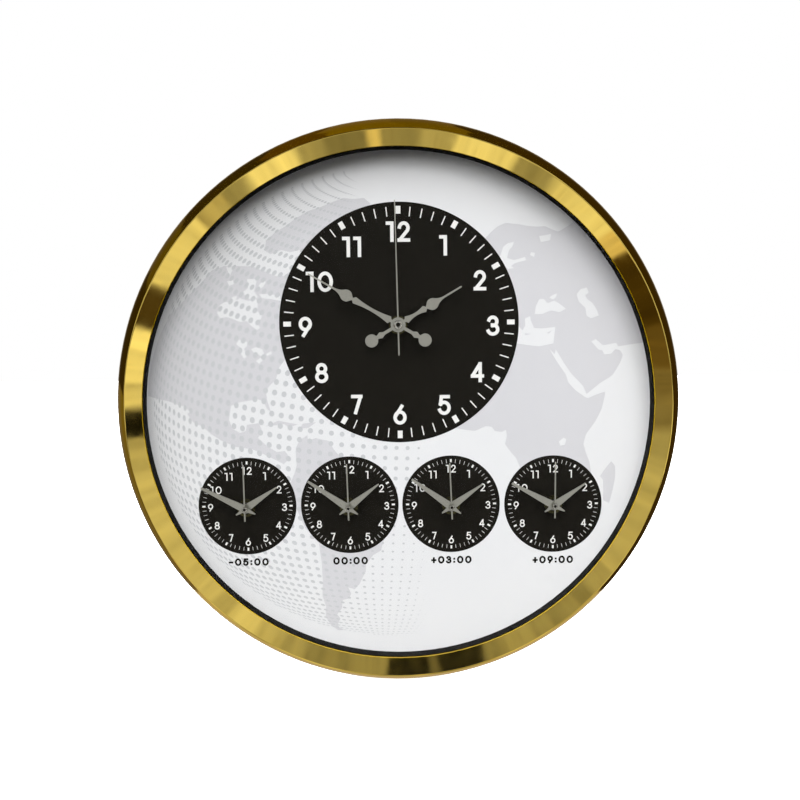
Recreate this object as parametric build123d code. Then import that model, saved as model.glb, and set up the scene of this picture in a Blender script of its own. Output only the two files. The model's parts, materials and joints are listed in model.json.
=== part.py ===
from build123d import *
import math
import os

# World time clock. All lengths are in millimetres.
# X runs to the right as the dial is read, Z runs up, and the dial faces minus Y.
# The wall is the plane Y = 0 and the clock's own axis is the Y axis.
# A depth is a distance in front of the wall.

# Case ring
overall_radius = 200.0
widest_depth = 13.4
rear_edge_inset = 3.0
rear_edge_depth = 0.8
rear_round_bulge = 0.8
ridge_inset = 15.0
ridge_depth = 46.4
ridge_round = 0.7
band_bulge = 1.0
bevel_width = 9.7
lip_edge_depth = 38.4
lip_thickness = 1.4
case_wall = 2.4
inner_wall = 2.7
inner_wall_rear_depth = 18.0
case_rib_count = 12
case_rib_thickness = 1.6
case_rib_rear_depth = 9.0
cover_boss_count = 6
cover_boss_radius = 3.4
cover_boss_front_depth = 24.0
cover_screw_inset = 5.7
cover_ledge_width = 2.3
cover_ledge_depth = 6.0

# Front glass, inner ring, dial
pocket_clearance = 0.3
glass_thickness = 2.0
lip_overlap = 0.2
inner_ring_thickness = 3.65
dial_front_depth = 26.0
dial_sheet_thickness = 0.5
dial_board_thickness = 3.0
sheet_hole_clearance = 0.1
board_hole_clearance = 0.25

# Places of the five movements, in shares of the dial's visible radius
main_height_share = 0.319
small_height_share = -0.404
small_pitch_share = 0.410

# Back cover
case_rear_wall = 2.7
cover_plate_thickness = 2.5
cover_edge_clearance = 0.3
window_clearance = 1.0
window_corner_radius = 4.0
window_skirt_thickness = 1.5
window_skirt_front_depth = 9.0
pillar_count = 6
pillar_inset = 10.3
pillar_root_radius = 4.2
pillar_tip_radius = 3.0

# Screws
screw_head_radius = 3.0
screw_head_height = 1.2
screw_shank_radius = 1.4
screw_shank_length = 12.0
screw_head_clearance = 0.4
screw_hole_clearance = 0.05
screw_through_clearance = 0.2
hanger_screw_head_radius = 2.4
hanger_screw_head_height = 0.8
hanger_screw_shank_radius = 1.0
hanger_screw_shank_length = 4.0

# Hanger plate
hanger_inset = 10.3
hanger_width = 46.0
hanger_tallness = 24.0
hanger_corner_radius = 3.0
hanger_thickness = 1.2
hanger_clearance = 0.2
keyhole_radius = 4.5
keyhole_slot_radius = 2.25
keyhole_slot_rise = 8.0
keyhole_drop = 4.0
hanger_opening_margin = 1.5
hanger_screw_offset = 17.5
hanger_boss_radius = 2.8
hanger_boss_height = 3.2

# Movement case
movement_size = 56.0
movement_corner_radius = 3.0
movement_thickness = 16.0
movement_wall = 1.2
movement_cover_thickness = 1.2
partition_thickness = 1.0
neck_radius = 4.0
neck_length = 7.0
running_clearance = 0.05
rubber_washer_radius = 9.0
rubber_washer_thickness = 0.5
brass_washer_radius = 6.4
brass_washer_thickness = 0.5
nut_across_flats = 10.5
nut_thickness = 2.0
nut_clearance = 0.05

# Battery and contacts
battery_radius = 7.25
battery_length = 50.5
battery_nub_radius = 2.75
battery_nub_length = 1.3
battery_side_gap = 0.3
contact_thickness = 0.4
contact_width = 7.0
contact_height = 12.0

# Concentric arbor and pipes, heights counted from the movement's front face
second_arbor_radius = 0.55
minute_pipe_radius = 1.65
hour_pipe_radius = 2.5
hand_thickness = 0.6
second_hand_thickness = 0.35
hour_hand_height = 7.6
minute_hand_height = 9.4
second_hand_height = 11.1
second_cap_radius = 3.0
second_cap_height = 1.0
second_cap_bore_radius = 1.5
small_second_cap_radius = 1.9
small_second_cap_bore_radius = 1.0
second_cap_floor = 0.3
small_hour_pipe_sink = 2.0
small_minute_pipe_sink = 4.0
small_second_arbor_sink = 6.0
end_play = 0.3

# Spade hands of the main dial
main_minute_reach = 71.0
main_hour_reach = 51.2
main_second_reach = 84.5
main_second_tail = 21.0
main_second_half_width = 0.5
main_second_tip_half_width = 0.35
minute_leaf_at = 40.8
hour_leaf_at = 27.6
leaf_half_width = 4.0
leaf_shoulder_half_width = 3.5
leaf_shoulder_back = 2.2
leaf_front_length = 9.6
leaf_front_mid = 4.6
leaf_front_mid_half_width = 1.9
rod_half_width = 0.65
minute_tip_half_width = 0.45
hour_tip_half_width = 0.55
collar_back = 6.5
collar_half_width = 2.4
collar_notch_back = 4.8
collar_notch_half_width = 0.8
waist_half_width = 1.15
root_barb_at = 6.9
root_barb_half_width = 2.65
root_notch_at = 5.9
hub_disc_radius = 5.1
tail_rod_half_width = 1.1
tail_barb_at = 13.8
tail_barb_half_width = 2.3
tail_barb_length = 2.4
tail_neck_half_width = 1.3
tail_ball_at = 21.3
tail_ball_radius = 4.5

# Tapered hands of the small dials
small_minute_reach = 33.8
small_hour_reach = 26.8
small_second_reach = 31.0
small_second_tail = 8.4
small_second_half_width = 0.5
small_second_tip_half_width = 0.4
small_shoulder_at = 3.2
small_shoulder_half_width = 2.5
small_hour_hub_radius = 3.4
small_tail_at = 8.0
small_tail_half_width = 0.35
small_minute_tip_half_width = 0.7
small_hour_tip_half_width = 0.4

# Hand angles at rest, clockwise from twelve
main_angles = (59.4, -60.1, -1.1)
small_angles = (
    (56.1, -63.5, -0.8),
    (52.4, -55.8, -1.4),
    (54.7, -54.4, -2.2),
    (54.8, -61.6, 0.5),
)

# Setting knob and minute wheel arbor, from the movement's centre
minute_arbor_distance = 12.0
minute_arbor_angle = 160.0
minute_arbor_radius = 1.25
knob_radius = 5.0
knob_thickness = 2.4
knob_gap = 0.4
knob_grip_count = 12
knob_grip_radius = 0.7
small_knob_shaft_sink = 4.0

# Wheel train of the main movement: levels counted back from the front face
wheel_thickness = 0.8
pinion_thickness = 1.1
hour_wheel_level = 1.6
minute_wheel_level = 3.0
train_plate_level = 4.3
train_plate_thickness = 1.0
centre_wheel_level = 5.8
third_wheel_level = 7.2
second_wheel_level = 8.6
intermediate_wheel_level = 9.9
rotor_magnet_level = 11.0
rotor_magnet_radius = 3.0
rotor_magnet_thickness = 2.0
stator_level = 11.4
pivot_depth = 0.7
train_arbor_radius = 0.5

hour_wheel_teeth = 40
minute_pinion_teeth = 10
minute_wheel_teeth = 36
cannon_teeth = 12
centre_wheel_teeth = 64
third_pinion_teeth = 8
third_wheel_teeth = 60
second_pinion_teeth = 8
second_wheel_teeth = 48
intermediate_pinion_teeth = 8
intermediate_wheel_teeth = 40
rotor_pinion_teeth = 8
third_arbor_distance = 10.08
third_arbor_angle = 40.0
intermediate_arbor_distance = 10.08
intermediate_arbor_angle = 115.0
rotor_from_intermediate = 7.2
rotor_direction = 60.0
addendum_share = 0.85
dedendum_share = 1.3
tooth_tip_share = 0.16
tooth_root_share = 0.52

# Step motor and circuit board of the main movement
stator_thickness = 1.0
stator_half_length = 16.0
stator_half_width = 4.4
stator_leg_width = 3.6
stator_rise = 9.2
magnet_gap = 0.45
coil_height_above_rotor = 7.9
coil_radius = 3.0
coil_half_length = 11.0
coil_flange_thickness = 0.8
coil_flange_radius = 3.2
coil_core_half_width = 1.1
coil_core_clearance = 0.1
board_width = 7.4
board_low = -4.0
board_high = 22.0
board_level = 12.6
board_thickness = 0.8
chip_radius = 2.4
chip_height = 0.9
crystal_radius = 1.0
crystal_length = 6.0

# Derived radii, from the rim inwards
rear_edge_radius = overall_radius - rear_edge_inset
ridge_radius = overall_radius - ridge_inset
lip_radius = ridge_radius - bevel_width
inner_ring_bore_radius = lip_radius + lip_overlap
fitted_radius = inner_ring_bore_radius + inner_ring_thickness
pocket_radius = fitted_radius + pocket_clearance
ledge_radius = rear_edge_radius - case_rear_wall
cover_radius = ledge_radius - cover_edge_clearance
cover_screw_circle_radius = cover_radius - cover_screw_inset
pillar_circle_radius = lip_radius - pillar_inset
hanger_height = lip_radius - hanger_inset

# Derived places shared by several pieces
movement_front_depth = (
    dial_front_depth - dial_sheet_thickness - dial_board_thickness - rubber_washer_thickness
)
movement_rear_depth = movement_front_depth - movement_thickness
glass_front_depth = lip_edge_depth - lip_thickness
glass_rear_depth = glass_front_depth - glass_thickness
half_movement = movement_size / 2
battery_height = -half_movement + movement_wall + battery_side_gap + battery_radius
bay_top = battery_height + battery_radius + battery_side_gap
cut_overrun = 1.0
full_turn = 360
half_turn = full_turn / 2


def at_depth(depth, x=0, z=0):
    """Plane parallel to the dial, drawn as it is seen from the front."""
    return Plane(origin=(x, -depth, z), x_dir=(1, 0, 0), z_dir=(0, -1, 0))


def raised(sketch, rear, front, place=(0, 0)):
    """Solid with the sketch's outline between two depths."""
    return extrude(at_depth(rear, *place) * sketch, front - rear)


def disc(radius, rear, front, place=(0, 0)):
    """Round solid between two depths."""
    return raised(Circle(radius), rear, front, place)


def washer(outer, inner, rear, front, place=(0, 0)):
    """Flat ring between two depths."""
    return raised(Circle(outer) - Circle(inner), rear, front, place)


def slab(left, right, low, high, rear, front, place=(0, 0)):
    """Block given by its sides as seen from the front."""
    outline = Pos((left + right) / 2, (low + high) / 2) * Rectangle(right - left, high - low)
    return raised(outline, rear, front, place)


def polar(distance, angle):
    """Point at a distance and an angle from the movement's centre."""
    turn = math.radians(angle)
    return (distance * math.cos(turn), distance * math.sin(turn))


def around(radius, count, first=0.0):
    """Evenly spaced places on a circle round the clock's axis."""
    return [polar(radius, first + full_turn * step / count) for step in range(count)]


def shifted(place, offset):
    """Place moved by an offset."""
    return (place[0] + offset[0], place[1] + offset[1])


def turned(section):
    """Solid of revolution round the clock's axis from a section drawn as radius and minus depth."""
    return revolve(section, Axis.Y)


def section_of(points):
    """Closed section face from radius and depth pairs."""
    return make_face(Polyline([(radius, -depth) for radius, depth in points], close=True))


def save(name, *solids):
    """Write one node, from one solid or a group of separate ones."""
    shape = solids[0] if len(solids) == 1 else Compound(children=list(solids))
    shape.label = name
    export_step(shape, f"parts/{name}.step")


# Case, glass and dial


def bevel_depth(radius):
    """Depth of the front bevel at a radius."""
    drop = (ridge_depth - lip_edge_depth) / (ridge_radius - lip_radius)
    return ridge_depth - (ridge_radius - radius) * drop


def case_ring():
    """Moulded rim: slanted outer band, front bevel and lip, and an open channel behind."""
    inner_wall_outside = pocket_radius + inner_wall
    channel_crown = ridge_radius - case_wall / 2
    middle_depth = (widest_depth + ridge_depth) / 2
    inner_points = [
        (lip_radius, lip_edge_depth),
        (lip_radius, glass_front_depth),
        (pocket_radius, glass_front_depth),
        (pocket_radius, inner_wall_rear_depth),
        (inner_wall_outside, inner_wall_rear_depth),
        (inner_wall_outside, bevel_depth(inner_wall_outside) - case_wall),
        (channel_crown, bevel_depth(channel_crown) - case_wall - ridge_round),
        (overall_radius - case_wall, widest_depth),
        (ledge_radius - cover_ledge_width, cover_ledge_depth),
        (ledge_radius - cover_ledge_width, cover_plate_thickness),
        (ledge_radius, cover_plate_thickness),
        (ledge_radius, rear_edge_depth),
        (rear_edge_radius, rear_edge_depth),
    ]
    inside = Polyline([(radius, -depth) for radius, depth in inner_points])
    rear_round = ThreePointArc(
        (rear_edge_radius, -rear_edge_depth),
        (
            (rear_edge_radius + overall_radius) / 2 + rear_round_bulge,
            -(rear_edge_depth + widest_depth) / 2,
        ),
        (overall_radius, -widest_depth),
    )
    band = ThreePointArc(
        (overall_radius, -widest_depth),
        ((overall_radius + ridge_radius) / 2 + band_bulge, -middle_depth),
        (ridge_radius, -ridge_depth),
    )
    bevel = Line((ridge_radius, -ridge_depth), (lip_radius, -lip_edge_depth))
    section = make_face([inside, rear_round, band, bevel])
    section = fillet(section.vertices().sort_by(Axis.Y)[0], ridge_round)
    body = turned(section)

    rib_section = section_of(
        [
            (inner_wall_outside - inner_wall / 2, case_rib_rear_depth),
            (ledge_radius, case_rib_rear_depth),
            (overall_radius - case_wall / 2, widest_depth),
            (ridge_radius, bevel_depth(ridge_radius) - case_wall - ridge_round),
            (inner_wall_outside - inner_wall / 2, bevel_depth(inner_wall_outside) - case_wall),
        ]
    )
    rib = extrude(rib_section, case_rib_thickness / 2, both=True)
    for step in range(case_rib_count):
        body += rib.rotate(Axis.Y, full_turn * step / case_rib_count)
    for place in boss_places():
        body += disc(cover_boss_radius, cover_plate_thickness, cover_boss_front_depth, place)
    for place in boss_places():
        body -= disc(
            screw_shank_radius + screw_hole_clearance,
            cover_plate_thickness - cut_overrun,
            cover_plate_thickness + screw_shank_length,
            place,
        )
    return body


def boss_places():
    """Places of the cover's screws on the rim."""
    return around(cover_screw_circle_radius, cover_boss_count, full_turn / cover_boss_count / 2)


def front_glass():
    """Flat glass seated behind the lip."""
    return disc(fitted_radius, glass_rear_depth, glass_front_depth)


def inner_ring():
    """Black ring that keeps the glass off the dial."""
    return washer(fitted_radius, inner_ring_bore_radius, dial_front_depth, glass_rear_depth)


def movement_places():
    """Places of the five movements: the main one first, then the small ones from left to right."""
    pitch = lip_radius * small_pitch_share
    columns = [-pitch / 2 - pitch, -pitch / 2, pitch / 2, pitch / 2 + pitch]
    small_row = [(column, lip_radius * small_height_share) for column in columns]
    return [(0, lip_radius * main_height_share), *small_row]


def dial_layer(rear, front, hole_radius):
    """Round layer of the dial with a hole for each movement's neck."""
    outline = Circle(fitted_radius)
    for x, z in movement_places():
        outline -= Pos(x, z) * Circle(hole_radius)
    return raised(outline, rear, front)


def dial_sheet():
    """Printed dial sheet."""
    front = dial_front_depth
    return dial_layer(front - dial_sheet_thickness, front, neck_radius + sheet_hole_clearance)


def dial_board():
    """Stiff board behind the dial sheet."""
    front = dial_front_depth - dial_sheet_thickness
    return dial_layer(front - dial_board_thickness, front, neck_radius + board_hole_clearance)


# Back cover, hanger and screws


def window_outline(margin):
    """Square outline round a movement with a margin on each side."""
    side = movement_size + 2 * margin
    return RectangleRounded(side, side, window_corner_radius + margin - window_clearance)


def hanger_outline(clearance):
    """Rounded outline of the hanger plate, grown by a clearance."""
    return RectangleRounded(
        hanger_width + 2 * clearance,
        hanger_tallness + 2 * clearance,
        hanger_corner_radius + clearance,
    )


def keyhole_outline(margin):
    """Keyhole outline: a round entry with a slot above it, grown by a margin."""
    entry = Pos(0, -keyhole_drop) * Circle(keyhole_radius + margin)
    slot_middle = -keyhole_drop + keyhole_slot_rise / 2
    slot = Pos(0, slot_middle) * Rectangle(2 * (keyhole_slot_radius + margin), keyhole_slot_rise)
    slot_end = Pos(0, keyhole_slot_rise - keyhole_drop) * Circle(keyhole_slot_radius + margin)
    return entry + slot + slot_end


def hanger_screw_places():
    """Places of the two screws that hold the hanger plate."""
    return [(side * hanger_screw_offset, hanger_height) for side in (-1, 1)]


def pillar():
    """Tapered pillar that presses the dial board against the inner ring."""
    board_rear = dial_front_depth - dial_sheet_thickness - dial_board_thickness
    root_depth = cover_plate_thickness / 2
    return section_of(
        [
            (0, root_depth),
            (pillar_root_radius, root_depth),
            (pillar_root_radius, cover_plate_thickness),
            (pillar_tip_radius, board_rear),
            (0, board_rear),
        ]
    )


def back_cover():
    """Moulded cover with a skirted window for each movement and pillars for the dial board."""
    outline = Circle(cover_radius)
    for x, z in movement_places():
        outline -= Pos(x, z) * window_outline(window_clearance)
    cover = raised(outline, 0, cover_plate_thickness)
    skirt = window_outline(window_clearance + window_skirt_thickness) - window_outline(
        window_clearance
    )
    for place in movement_places():
        cover += raised(skirt, cover_plate_thickness / 2, window_skirt_front_depth, place)
    post = turned(pillar())
    for x, z in around(pillar_circle_radius, pillar_count):
        cover += post.moved(Location((x, 0, z)))
    for place in hanger_screw_places():
        cover += disc(
            hanger_boss_radius,
            cover_plate_thickness / 2,
            hanger_thickness + hanger_boss_height,
            place,
        )
    for place in boss_places():
        cover -= disc(
            screw_shank_radius + screw_through_clearance,
            -cut_overrun,
            cover_plate_thickness + cut_overrun,
            place,
        )
        cover -= disc(
            screw_head_radius + screw_head_clearance, -cut_overrun, screw_head_height, place
        )
    hanger_place = (0, hanger_height)
    cover -= raised(
        hanger_outline(hanger_clearance), -cut_overrun, hanger_thickness, hanger_place
    )
    cover -= raised(
        keyhole_outline(hanger_opening_margin),
        -cut_overrun,
        cover_plate_thickness + cut_overrun,
        hanger_place,
    )
    for place in hanger_screw_places():
        cover -= disc(
            hanger_screw_shank_radius + screw_hole_clearance,
            -cut_overrun,
            hanger_screw_head_height + hanger_screw_shank_length,
            place,
        )
    return cover


def hanger_plate():
    """Steel plate with the keyhole that the wall screw enters."""
    plate = raised(
        hanger_outline(0) - keyhole_outline(0), 0, hanger_thickness, (0, hanger_height)
    )
    for place in hanger_screw_places():
        plate -= disc(
            hanger_screw_shank_radius + screw_through_clearance,
            -cut_overrun,
            hanger_thickness + cut_overrun,
            place,
        )
        plate -= disc(
            hanger_screw_head_radius + screw_hole_clearance,
            -cut_overrun,
            hanger_screw_head_height,
            place,
        )
    return plate


def screw(head_radius, head_height, shank_radius, shank_length, place):
    """Flat headed screw driven from the wall side."""
    head = disc(head_radius, 0, head_height, place)
    shank = disc(shank_radius, head_height / 2, head_height + shank_length, place)
    return head + shank


def cover_screws():
    """Screws of the back cover."""
    length = screw_shank_length - cover_plate_thickness / 2
    return [
        screw(screw_head_radius, screw_head_height, screw_shank_radius, length, place)
        for place in boss_places()
    ]


def hanger_screws():
    """Screws of the hanger plate."""
    length = hanger_screw_shank_length - hanger_thickness
    return [
        screw(
            hanger_screw_head_radius,
            hanger_screw_head_height,
            hanger_screw_shank_radius,
            length,
            place,
        )
        for place in hanger_screw_places()
    ]


# Movements


def minute_arbor_place():
    """Offset of the minute wheel's arbor, which also carries the setting knob."""
    return polar(minute_arbor_distance, minute_arbor_angle)


def back_of(level):
    """Depth of a level counted back from the movement's front face."""
    return movement_front_depth - level


def movement_case(place, opened):
    """Case with a threaded neck and a battery bay; opened has a hollow for the wheel train."""
    front = movement_front_depth
    cover_front = movement_rear_depth + movement_cover_thickness
    inside = half_movement - movement_wall
    side = movement_size
    block = raised(
        RectangleRounded(side, side, movement_corner_radius), movement_rear_depth, front, place
    )
    block -= slab(
        -half_movement - cut_overrun,
        half_movement + cut_overrun,
        bay_top,
        half_movement + cut_overrun,
        movement_rear_depth - cut_overrun,
        cover_front,
        place,
    )
    block -= slab(
        -inside,
        inside,
        -inside,
        bay_top,
        movement_rear_depth - cut_overrun,
        front - movement_wall,
        place,
    )
    block += disc(neck_radius, front - movement_wall / 2, front + neck_length, place)
    pipe_bore = hour_pipe_radius + running_clearance
    if opened:
        block -= slab(
            -inside,
            inside,
            bay_top + partition_thickness,
            inside,
            cover_front - cut_overrun,
            front - movement_wall,
            place,
        )
        block -= disc(pipe_bore, back_of(hour_wheel_level), front + neck_length, place)
        block -= disc(
            minute_arbor_radius + running_clearance,
            front - movement_wall - cut_overrun,
            front - movement_wall + pivot_depth,
            shifted(place, minute_arbor_place()),
        )
        return block
    bores = [
        (pipe_bore, small_hour_pipe_sink),
        (minute_pipe_radius + running_clearance, small_minute_pipe_sink),
        (second_arbor_radius + running_clearance, small_second_arbor_sink),
    ]
    for radius, sink in bores:
        block -= disc(radius, front - sink - end_play, front + neck_length, place)
    block -= disc(
        minute_arbor_radius + running_clearance,
        movement_rear_depth,
        cover_front + small_knob_shaft_sink + end_play,
        shifted(place, minute_arbor_place()),
    )
    return block


def movement_cover(place, pivots):
    """Flat cover of the wheel train with a hole for the knob's shaft and blind pivot holes."""
    rear = movement_rear_depth
    front = rear + movement_cover_thickness
    side = movement_size
    plate = raised(RectangleRounded(side, side, movement_corner_radius), rear, front, place)
    plate -= slab(
        -half_movement - cut_overrun,
        half_movement + cut_overrun,
        -half_movement - cut_overrun,
        bay_top,
        rear - cut_overrun,
        front + cut_overrun,
        place,
    )
    plate -= disc(
        minute_arbor_radius + running_clearance,
        rear - cut_overrun,
        front + cut_overrun,
        shifted(place, minute_arbor_place()),
    )
    for radius, offset in pivots:
        plate -= disc(
            radius + running_clearance,
            front - pivot_depth - running_clearance,
            front + cut_overrun,
            shifted(place, offset),
        )
    return plate


def knob_shaft_front(opened):
    """Depth of the front end of a setting knob's shaft."""
    if opened:
        return movement_front_depth - movement_wall + pivot_depth - running_clearance
    return movement_rear_depth + movement_cover_thickness + small_knob_shaft_sink


def setting_knob(place, opened):
    """Knob with finger flutes on a shaft that runs through the movement's cover."""
    centre = shifted(place, minute_arbor_place())
    front = movement_rear_depth - knob_gap
    outline = Circle(knob_radius)
    for flute in PolarLocations(knob_radius, knob_grip_count):
        outline -= flute * Circle(knob_grip_radius)
    knob = raised(outline, front - knob_thickness, front, centre)
    shaft_front = knob_shaft_front(False)
    if opened:
        shaft_front = back_of(minute_wheel_level + wheel_thickness) - running_clearance
    return knob + disc(minute_arbor_radius, front - knob_thickness / 2, shaft_front, centre)


def battery(place):
    """AA cell lying in the bay, its plus end to the right as the dial is read."""
    left = half_movement - movement_wall - contact_thickness - battery_length
    depth = movement_front_depth - movement_wall - battery_side_gap - battery_radius
    x, z = shifted(place, (left, battery_height))
    start = Plane(origin=(x, -depth, z), x_dir=(0, 1, 0), z_dir=(1, 0, 0))
    can = extrude(start * Circle(battery_radius), battery_length - battery_nub_length)
    nub = extrude(start * Circle(battery_nub_radius), battery_length)
    return can + nub


def battery_contacts(place):
    """Flat plus contact and bowed minus contact on the end walls of the bay."""
    inside = half_movement - movement_wall
    middle = movement_front_depth - movement_wall - battery_side_gap - battery_radius
    rear = middle - contact_width / 2
    front = middle + contact_width / 2
    low = battery_height - contact_height / 2
    high = battery_height + contact_height / 2
    plus = slab(inside - contact_thickness, inside, low, high, rear, front, place)
    minus = slab(-inside, contact_thickness - inside, low, high, rear, front, place)
    crown = inside - contact_thickness - battery_length
    bow_outside = ThreePointArc((-inside, low), (crown, battery_height), (-inside, high))
    bow_inside = ThreePointArc(
        (-inside, low + 2 * contact_thickness),
        (crown - contact_thickness, battery_height),
        (-inside, high - 2 * contact_thickness),
    )
    ends = [
        Line((-inside, low), (-inside, low + 2 * contact_thickness)),
        Line((-inside, high), (-inside, high - 2 * contact_thickness)),
    ]
    bow = make_face([bow_outside, bow_inside, *ends])
    return [plus, minus + raised(bow, rear, front, place)]


def shaft_nut(place):
    """Brass hexagon nut on the threaded neck."""
    rear = dial_front_depth + brass_washer_thickness
    outline = RegularPolygon(nut_across_flats / 2, 6, major_radius=False)
    outline -= Circle(neck_radius + nut_clearance)
    return raised(outline, rear, rear + nut_thickness, place)


def shaft_washer(place):
    """Brass washer under the nut."""
    rear = dial_front_depth
    inner = neck_radius + sheet_hole_clearance
    return washer(brass_washer_radius, inner, rear, rear + brass_washer_thickness, place)


def rubber_washer(place):
    """Rubber washer between the movement and the dial board."""
    front = movement_front_depth + rubber_washer_thickness
    inner = neck_radius + board_hole_clearance
    return washer(rubber_washer_radius, inner, movement_front_depth, front, place)


# Hands


def pointing(sketch, angle):
    """Hand outline drawn along X, turned to its clockwise angle from twelve."""
    return Rot(0, 0, 90 - angle) * sketch


def whole_hand(half_edges, tail, tip):
    """Hand outline from the edges of its upper half, drawn from tail to tip along X."""
    half = make_face([*half_edges, Line((tail, 0), (tip, 0))])
    return half + mirror(half, Plane.XZ)


def spade_outline(reach, leaf_at, tip_half_width):
    """Ornate hand: ball tail, barbed collars, waisted shank, leaf and slender rod."""
    collar_at = leaf_at - collar_back
    notch_at = leaf_at - collar_notch_back
    waist_at = (root_barb_at + collar_at) / 2
    tail_end = -tail_ball_at
    barb_end = -tail_barb_at - tail_barb_length
    rear_edges = Polyline(
        (tail_end, 0),
        (tail_end, tail_neck_half_width),
        (barb_end, tail_neck_half_width),
        (-tail_barb_at, tail_barb_half_width),
        (tail_barb_length - tail_barb_at, tail_rod_half_width),
        (root_notch_at, tail_rod_half_width),
        (root_barb_at, root_barb_half_width),
    )
    shank = ThreePointArc(
        (root_barb_at, root_barb_half_width),
        (waist_at, waist_half_width),
        (collar_at, collar_half_width),
    )
    notch = Polyline(
        (collar_at, collar_half_width),
        (notch_at, collar_notch_half_width),
        (leaf_at - leaf_shoulder_back, leaf_shoulder_half_width),
    )
    crown = ThreePointArc(
        (leaf_at - leaf_shoulder_back, leaf_shoulder_half_width),
        (leaf_at, leaf_half_width),
        (leaf_at + leaf_shoulder_back, leaf_shoulder_half_width),
    )
    taper = ThreePointArc(
        (leaf_at + leaf_shoulder_back, leaf_shoulder_half_width),
        (leaf_at + leaf_front_mid, leaf_front_mid_half_width),
        (leaf_at + leaf_front_length, rod_half_width),
    )
    rod = Polyline(
        (leaf_at + leaf_front_length, rod_half_width),
        (reach - tip_half_width, tip_half_width),
        (reach, 0),
    )
    outline = whole_hand([rear_edges, shank, notch, crown, taper, rod], tail_end, reach)
    return outline + Pos(tail_end, 0) * Circle(tail_ball_radius)


def tapered_outline(reach, tip_half_width):
    """Plain kite shaped hand with a short pointed tail."""
    edges = Polyline(
        (-small_tail_at, 0),
        (-small_tail_at, small_tail_half_width),
        (small_shoulder_at, small_shoulder_half_width),
        (reach, tip_half_width),
        (reach, 0),
    )
    return whole_hand([edges], -small_tail_at, reach)


def needle_outline(reach, tail, half_width, tip_half_width):
    """Thin second hand."""
    edges = Polyline(
        (-tail, 0), (-tail, half_width), (reach, tip_half_width), (reach, 0)
    )
    return whole_hand([edges], -tail, reach)


def above_dial(height):
    """Depth of a height counted from the movement's front face."""
    return movement_front_depth + height


def hour_hand(outline, angle, place, hub_radius):
    """Hour hand pressed on the hour pipe."""
    sketch = pointing(outline, angle) + Circle(hub_radius)
    sketch -= Circle(hour_pipe_radius)
    rear = above_dial(hour_hand_height)
    return raised(sketch, rear, rear + hand_thickness, place)


def minute_hand(outline, angle, place, hub_radius):
    """Minute hand pressed on the minute pipe."""
    sketch = pointing(outline, angle) + Circle(hub_radius)
    sketch -= Circle(minute_pipe_radius)
    rear = above_dial(minute_hand_height)
    return raised(sketch, rear, rear + hand_thickness, place)


def second_hand(outline, angle, place, cap_radius, bore_radius):
    """Second hand with its hollow cap, pressed on the second arbor."""
    rear = above_dial(second_hand_height)
    front = rear + second_hand_thickness
    sketch = pointing(outline, angle) + Circle(cap_radius)
    hand = raised(sketch, rear, front, place)
    cap_front = front + second_cap_height
    hand += washer(cap_radius, bore_radius, rear, cap_front, place)
    hand -= disc(second_arbor_radius, rear - cut_overrun, front - second_cap_floor / 2, place)
    return hand


def hour_pipe(place, rear):
    """Hour pipe from its inner end to the hour hand's front."""
    front = above_dial(hour_hand_height + hand_thickness)
    inner = minute_pipe_radius + running_clearance
    return washer(hour_pipe_radius, inner, rear, front, place)


def minute_pipe(place, rear):
    """Minute pipe from its inner end to the minute hand's front."""
    front = above_dial(minute_hand_height + hand_thickness)
    inner = second_arbor_radius + running_clearance
    return washer(minute_pipe_radius, inner, rear, front, place)


def second_arbor(place, rear):
    """Second arbor from its inner end into the second hand's cap."""
    front = above_dial(second_hand_height + second_hand_thickness) - second_cap_floor / 2
    return disc(second_arbor_radius, rear, front, place)


# Wheel train of the main movement


def gear_outline(teeth, module, phase, bore):
    """Toothed outline with straight flanks and one tooth centred on the phase angle."""
    pitch_radius = module * teeth / 2
    tip = pitch_radius + addendum_share * module
    root = pitch_radius - dedendum_share * module
    pitch = full_turn / teeth
    points = []
    for tooth in range(teeth):
        middle = phase + tooth * pitch
        points.append(polar(root, middle - pitch * tooth_root_share / 2))
        points.append(polar(tip, middle - pitch * tooth_tip_share / 2))
        points.append(polar(tip, middle + pitch * tooth_tip_share / 2))
        points.append(polar(root, middle + pitch * tooth_root_share / 2))
    outline = make_face(Polyline(points, close=True))
    return outline - Circle(bore) if bore else outline


def meshing_phase(phase, teeth, mate_teeth, direction):
    """Phase of a mate that lies in a direction, so that its gap takes the first gear's tooth."""
    tooth_share = half_turn / mate_teeth
    return direction + half_turn - (phase - direction) * teeth / mate_teeth + tooth_share


def level_disc(outline, level, thickness, offset):
    """Piece of the train at a level of the main movement."""
    place = shifted(movement_places()[0], offset)
    return raised(outline, back_of(level + thickness), back_of(level), place)


def train_module(distance, teeth, mate_teeth):
    """Module that two gears need for their centre distance."""
    return 2 * distance / (teeth + mate_teeth)


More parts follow.
